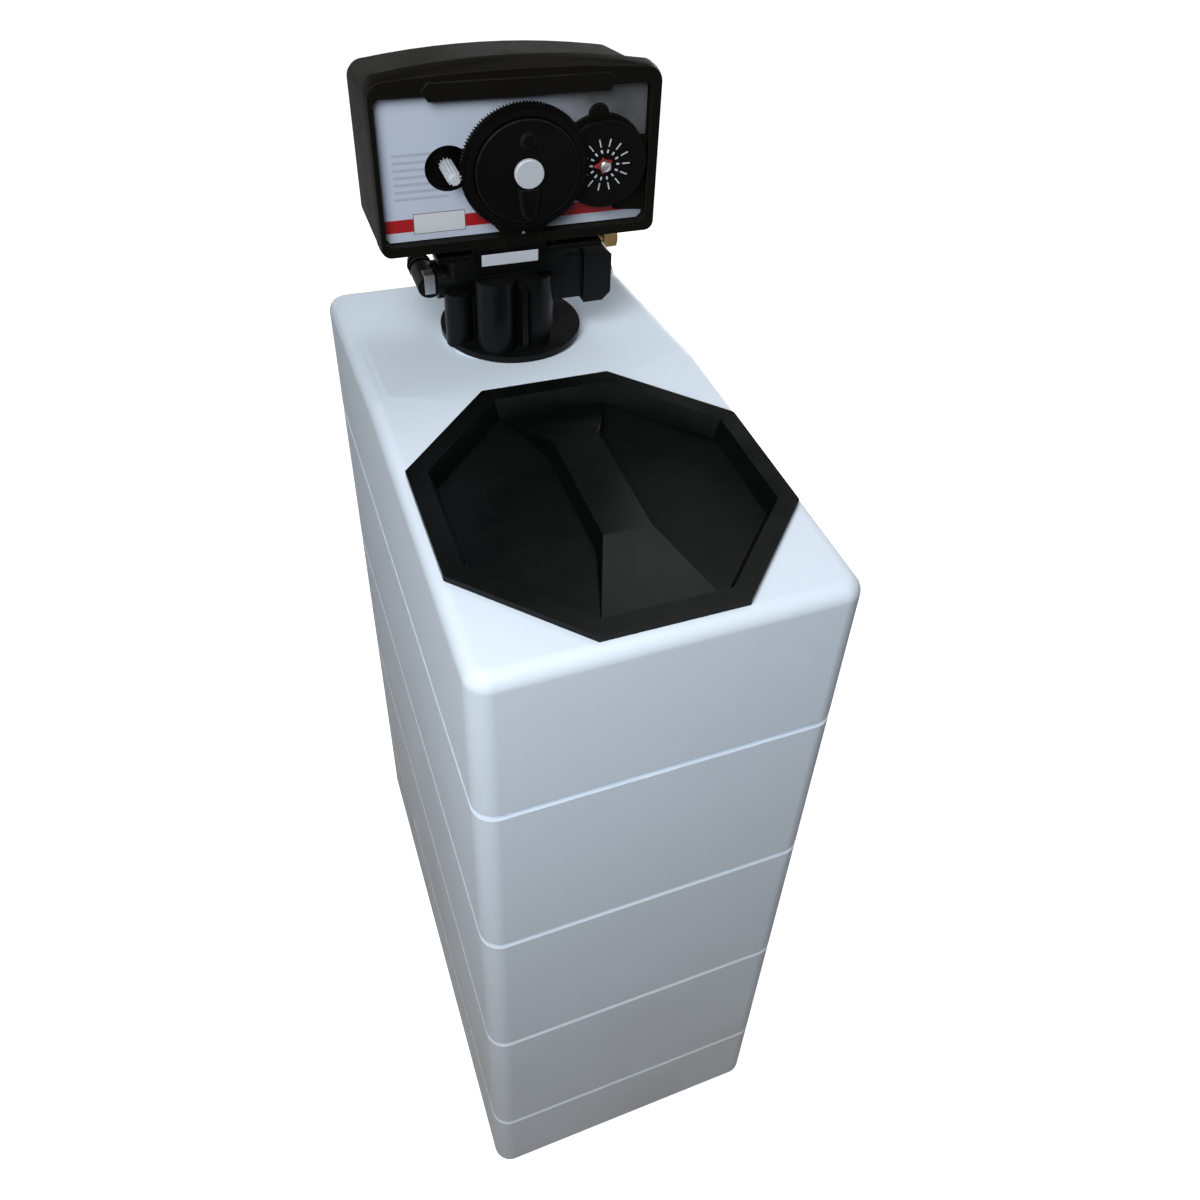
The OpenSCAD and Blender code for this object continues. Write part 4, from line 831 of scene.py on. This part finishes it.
class SOFTENER_OT_tank(Step):
    """Finish the resin tank and what stands in it"""

    bl_idname = "softener.tank"
    bl_label = "Resin tank"

    def execute(self, context):
        rounded("resin_tank", "fibre winding", edge=0.001)
        rounded("tank_foot", "rubber", edge=0.001)
        paint("resin beads", "resin_bed")
        paint("pipe grey", "riser_tube")
        paint("valve black", "lower_strainer", "upper_strainer")
        paint("rubber", "neck_seal")
        return {"FINISHED"}


class SOFTENER_OT_brine_well(Step):
    """Finish the brine well, its cap, pipe, valves and float"""

    bl_idname = "softener.brine_well"
    bl_label = "Brine well"

    def execute(self, context):
        rounded("brine_well", "plain white", edge=0.0004)
        rounded("well_cap", "plain white", edge=0.0006)
        rounded("brine_float", "plain white", edge=0.001)
        paint("pipe grey", "pickup_pipe")
        paint("blue plastic", "air_check", "safety_valve")
        paint("bright steel", "float_rod")
        return {"FINISHED"}


class SOFTENER_OT_valve(Step):
    """Finish the valve body with its injector, drain and pipe connections"""

    bl_idname = "softener.valve"
    bl_label = "Valve"

    def execute(self, context):
        rounded("valve_body", "valve black", edge=0.0012, steps=3)
        rounded("injector_body", "valve black", edge=0.0008)
        rounded("injector_cap", "valve black", edge=0.0009, steps=3)
        rounded("drain_elbow", "valve black", edge=0.0006)
        rounded("connection_yoke", "valve black", edge=0.0009, steps=3)
        rounded("drain_clip", "bright steel", edge=0.0003)
        rounded("yoke_clips", "bright steel", edge=0.0003)
        rounded("brine_elbow", "brass")
        rounded("brine_nut", "brass")
        paint("bright steel", "brine_stem", "piston_rod")
        paint("nylon", "piston", "rod_yoke")
        paint("blue plastic", "piston_seals")
        paint("plain white", "seal_spacers", "end_plug", "injector_nozzle")
        paint("pointer red", "injector_throat")
        paint("rubber", "port_seals")
        return {"FINISHED"}


class SOFTENER_OT_spring(Step):
    """Wind the spring of the brine valve as a coil of fixed length; the real spring shortens as the stem is
    pressed
    """

    bl_idname = "softener.spring"
    bl_label = "Brine valve spring"

    def execute(self, context):
        low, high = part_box("brine_spring")
        middle = Vector(((low.x + high.x) / 2, (low.y + high.y) / 2, low.z + SPRING_WIRE))
        coil = from_tree("brine_spring_finished", coil_tree(), {
            "Turns": SPRING_TURNS, "Radius": SPRING_RADIUS, "Height": high.z - low.z - 2 * SPRING_WIRE,
            "Wire": SPRING_WIRE, "Middle": middle, "Finish": finishes["bright steel"]})
        coil.data.shade_smooth()
        stand_for(coil, "brine_spring")
        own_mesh(coil)
        return {"FINISHED"}


class SOFTENER_OT_head(Step):
    """Finish the hood, the chassis and the drive behind the timer"""

    bl_idname = "softener.head"
    bl_label = "Hood and drive"

    def execute(self, context):
        rounded("hood", "head black", edge=0.0007, crease=30)
        rounded("chassis", "timer black")
        rounded("hinge_pins", "bright steel", edge=0.0002)
        rounded("timer_motor", "timer black", edge=0.0006)
        rounded("drive_motor", "motor case", edge=0.0008)
        rounded("main_gear", "nylon", edge=0.0001)
        paint("bright steel", "drive_pinion")
        paint("nylon", "drive_dog")
        return {"FINISHED"}


class SOFTENER_OT_bezel(Step):
    """Finish the bezel, its printed label, the blank plate and the arrow on the tab"""

    bl_idname = "softener.bezel"
    bl_label = "Bezel and label"

    def execute(self, context):
        rounded("front_bezel", "head black", edge=0.0007, steps=3)
        rounded("label_plate", "label print", edge=0.0001)
        rounded("blank_plate", "plain white", edge=0.0002)
        arrow = bmesh.new()
        front, rear = ([arrow.verts.new((x, y, z)) for x, z in ARROW_OUTLINE] for y in ARROW_FACES)
        arrow.faces.new(front)
        arrow.faces.new(rear[::-1])
        for k in range(3):
            arrow.faces.new((front[k], rear[k], rear[(k + 1) % 3], front[(k + 1) % 3]))
        bmesh.ops.recalc_face_normals(arrow, faces=arrow.faces[:])
        piece = new_piece("tab_arrow", mesh_of(arrow, "tab_arrow"))
        piece.data.materials.append(finishes["mark white"])
        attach(piece, "front")
        return {"FINISHED"}


class SOFTENER_OT_dial(Step):
    """Finish the hour gear, the manual knob with its cap and the motor pinion"""

    bl_idname = "softener.dial"
    bl_label = "Hour dial"

    def execute(self, context):
        rounded("hour_gear", "timer black", edge=0.0002, steps=1)
        rounded("regen_knob", "timer black", edge=0.0008, steps=3)
        rounded("knob_cap", "plain white", edge=0.0008, steps=3)
        rounded("motor_pinion", "plain white", edge=0.00015, crease=50, steps=1)
        return {"FINISHED"}


class SOFTENER_OT_skip_wheel(Step):
    """Finish the skip wheel with its two rings of marks and the red pointer"""

    bl_idname = "softener.skip_wheel"
    bl_label = "Skip wheel"

    def execute(self, context):
        look = context.scene.softener_dial
        rounded("skip_wheel", "timer black", edge=0.0003)
        rounded("skip_pointer", "pointer red", edge=0.0003)
        low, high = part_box("skip_wheel")
        middle = Vector(((low.x + high.x) / 2, low.y, (low.z + high.z) / 2))
        tree = mark_ring_tree()
        for name, (long, wide) in MARK_SIZES.items():
            ring = from_tree(name + "_marks", tree, {
                "Count": look.marks, "Radius": getattr(look, name), "Length": long, "Width": wide,
                "Thickness": MARK_THICKNESS, "Middle": middle, "Finish": finishes["mark white"]})
            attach(ring, "skip")
        return {"FINISHED"}


class SOFTENER_OT_screws(Step):
    """Set the cross-head and hexagon screws"""

    bl_idname = "softener.screws"
    bl_label = "Screws"

    def execute(self, context):
        tree = screw_set_tree()
        templates = {
            "pan_screw": screw_template("pan_screw", PAN_OUTLINE, PAN_STEPS, cross=True),
            "hexagon_screw": screw_template("hexagon_screw", HEXAGON_OUTLINE, HEXAGON_STEPS, cross=False),
        }
        for node, kind, radius, height, seats in SCREW_SETS:
            screws(tree, templates[kind], node, radius, height, seats)
        for template in templates.values():
            bpy.data.objects.remove(template)
        return {"FINISHED"}


class SOFTENER_OT_stage(Step):
    """Lay the floor, set the lamps and stand the camera where the photograph was taken"""

    bl_idname = "softener.stage"
    bl_label = "Stage"

    def execute(self, context):
        look = context.scene.softener_stage
        self.floor(look)
        self.world(context, look)
        for name, strength, width, at, aim in LAMPS:
            self.lamp(name, getattr(look, strength), width, Vector(at), Vector(aim))
        camera = new_piece("photo camera", bpy.data.cameras.new("photo camera"))
        camera.location = look.eye
        camera.rotation_euler = look.turn
        camera.data.lens = look.lens
        camera.data.sensor_width = SENSOR_WIDTH
        camera.data.shift_x = (PHOTO_SIDE / 2 - PHOTO_AXIS[0]) / PHOTO_SIDE
        camera.data.shift_y = (PHOTO_AXIS[1] - PHOTO_SIDE / 2) / PHOTO_SIDE
        camera.data.clip_start = CLIP_START
        context.scene.camera = camera
        context.scene.view_settings.view_transform = "Standard"
        return {"FINISHED"}

    @staticmethod
    def seen(tree):
        """1 for rays that show the background, directly or in gloss and glass."""
        rays = tree.nodes.new("ShaderNodeLightPath").outputs
        gloss = maths(tree, "MAXIMUM", rays["Is Glossy Ray"], rays["Is Transmission Ray"])
        return maths(tree, "MAXIMUM", rays["Is Camera Ray"], gloss)

    def floor(self, look):
        """A pale floor that keeps the object's shadow."""
        corners = ((-1, -1), (1, -1), (1, 1), (-1, 1))
        mesh = bpy.data.meshes.new("floor")
        mesh.from_pydata([(FLOOR_REACH * x, FLOOR_REACH * y, -FLOOR_DROP) for x, y in corners], [],
                         [(0, 1, 2, 3)])
        floor = new_piece("floor", mesh)
        pale = bpy.data.materials.new("pale floor")
        pale.use_nodes = True
        tree = pale.node_tree
        tree.nodes.clear()
        seen = self.seen(tree)
        straight = tree.nodes.new("ShaderNodeLightPath").outputs["Is Camera Ray"]
        away = add(tree, "ShaderNodeVectorMath", {"operation": "LENGTH"}, {0: place(tree)}).outputs["Value"]
        direct = maths(tree, "MULTIPLY", straight, spread(tree, away, FLOOR_RISE, FLOOR_GLOW))
        level = maths(tree, "MULTIPLY", seen, maths(tree, "MAXIMUM", direct, FLOOR_IN_GLOSS))
        glow = add(tree, "ShaderNodeEmission", {}, {"Strength": level})
        tone = blend_colours(tree, seen, FLOOR_SHADE, look.floor)
        matte = add(tree, "ShaderNodeBsdfDiffuse", {}, {"Color": tone})
        both = add(tree, "ShaderNodeAddShader", {}, {0: glow.outputs[0], 1: matte.outputs[0]})
        add(tree, "ShaderNodeOutputMaterial", {}, {"Surface": both.outputs[0]})
        mesh.materials.append(pale)

    def world(self, context, look):
        """White where it shows, dim overhead in gloss, an even fill otherwise."""
        world = bpy.data.worlds.new("studio")
        context.scene.world = world
        world.use_nodes = True
        tree = world.node_tree
        tree.nodes.clear()
        rise = axes(tree, tree.nodes.new("ShaderNodeTexCoord").outputs["Generated"])["Z"]
        gloss = tree.nodes.new("ShaderNodeLightPath").outputs["Is Glossy Ray"]
        overhead = maths(tree, "MULTIPLY", gloss, spread(tree, rise, WALL_DIMMING))
        wall = blend_colours(tree, overhead, WALL_WHITE, WALL_OVERHEAD)
        shown = add(tree, "ShaderNodeBackground", {}, {"Color": wall, "Strength": 1.0})
        light = add(tree, "ShaderNodeBackground", {}, {"Color": FILL_TONE, "Strength": look.fill})
        both = add(tree, "ShaderNodeMixShader", {},
                   {0: self.seen(tree), 1: light.outputs[0], 2: shown.outputs[0]})
        add(tree, "ShaderNodeOutputWorld", {}, {"Surface": both.outputs[0]})

    @staticmethod
    def lamp(name, strength, width, at, aim):
        """A square lamp that looks at its aim."""
        data = bpy.data.lights.new(name, "AREA")
        data.energy = strength
        data.size = width
        lamp = new_piece(name, data)
        lamp.location = at
        lamp.rotation_euler = (aim - at).to_track_quat("-Z", "Y").to_euler()


STEPS = (SOFTENER_OT_stage, SOFTENER_OT_finishes, SOFTENER_OT_cabinet, SOFTENER_OT_lid, SOFTENER_OT_tank,
         SOFTENER_OT_brine_well, SOFTENER_OT_valve, SOFTENER_OT_spring, SOFTENER_OT_head, SOFTENER_OT_bezel,
         SOFTENER_OT_dial, SOFTENER_OT_skip_wheel, SOFTENER_OT_screws)


class SOFTENER_PT_panel(bpy.types.Panel):
    """Lists the steps of the build"""

    bl_idname = "SOFTENER_PT_panel"
    bl_label = "Water softener"
    bl_space_type = "VIEW_3D"
    bl_region_type = "UI"
    bl_category = "Softener"

    def draw(self, context):
        for name, look in LOOKS:
            box = self.layout.box()
            for prop in look.__annotations__:
                box.prop(getattr(context.scene, name), prop)
        for step in STEPS:
            self.layout.operator(step.bl_idname)


CLASSES = tuple(look for _, look in LOOKS) + STEPS + (SOFTENER_PT_panel,)


def register():
    for item in CLASSES:
        bpy.utils.register_class(item)
    for name, look in LOOKS:
        setattr(bpy.types.Scene, name, PointerProperty(type=look))


def unregister():
    for name, _ in LOOKS:
        delattr(bpy.types.Scene, name)
    for item in reversed(CLASSES):
        bpy.utils.unregister_class(item)


def main():
    register()
    for step in STEPS:
        group, name = step.bl_idname.split(".")
        getattr(getattr(bpy.ops, group), name)()


if __name__ == "__main__":
    main()
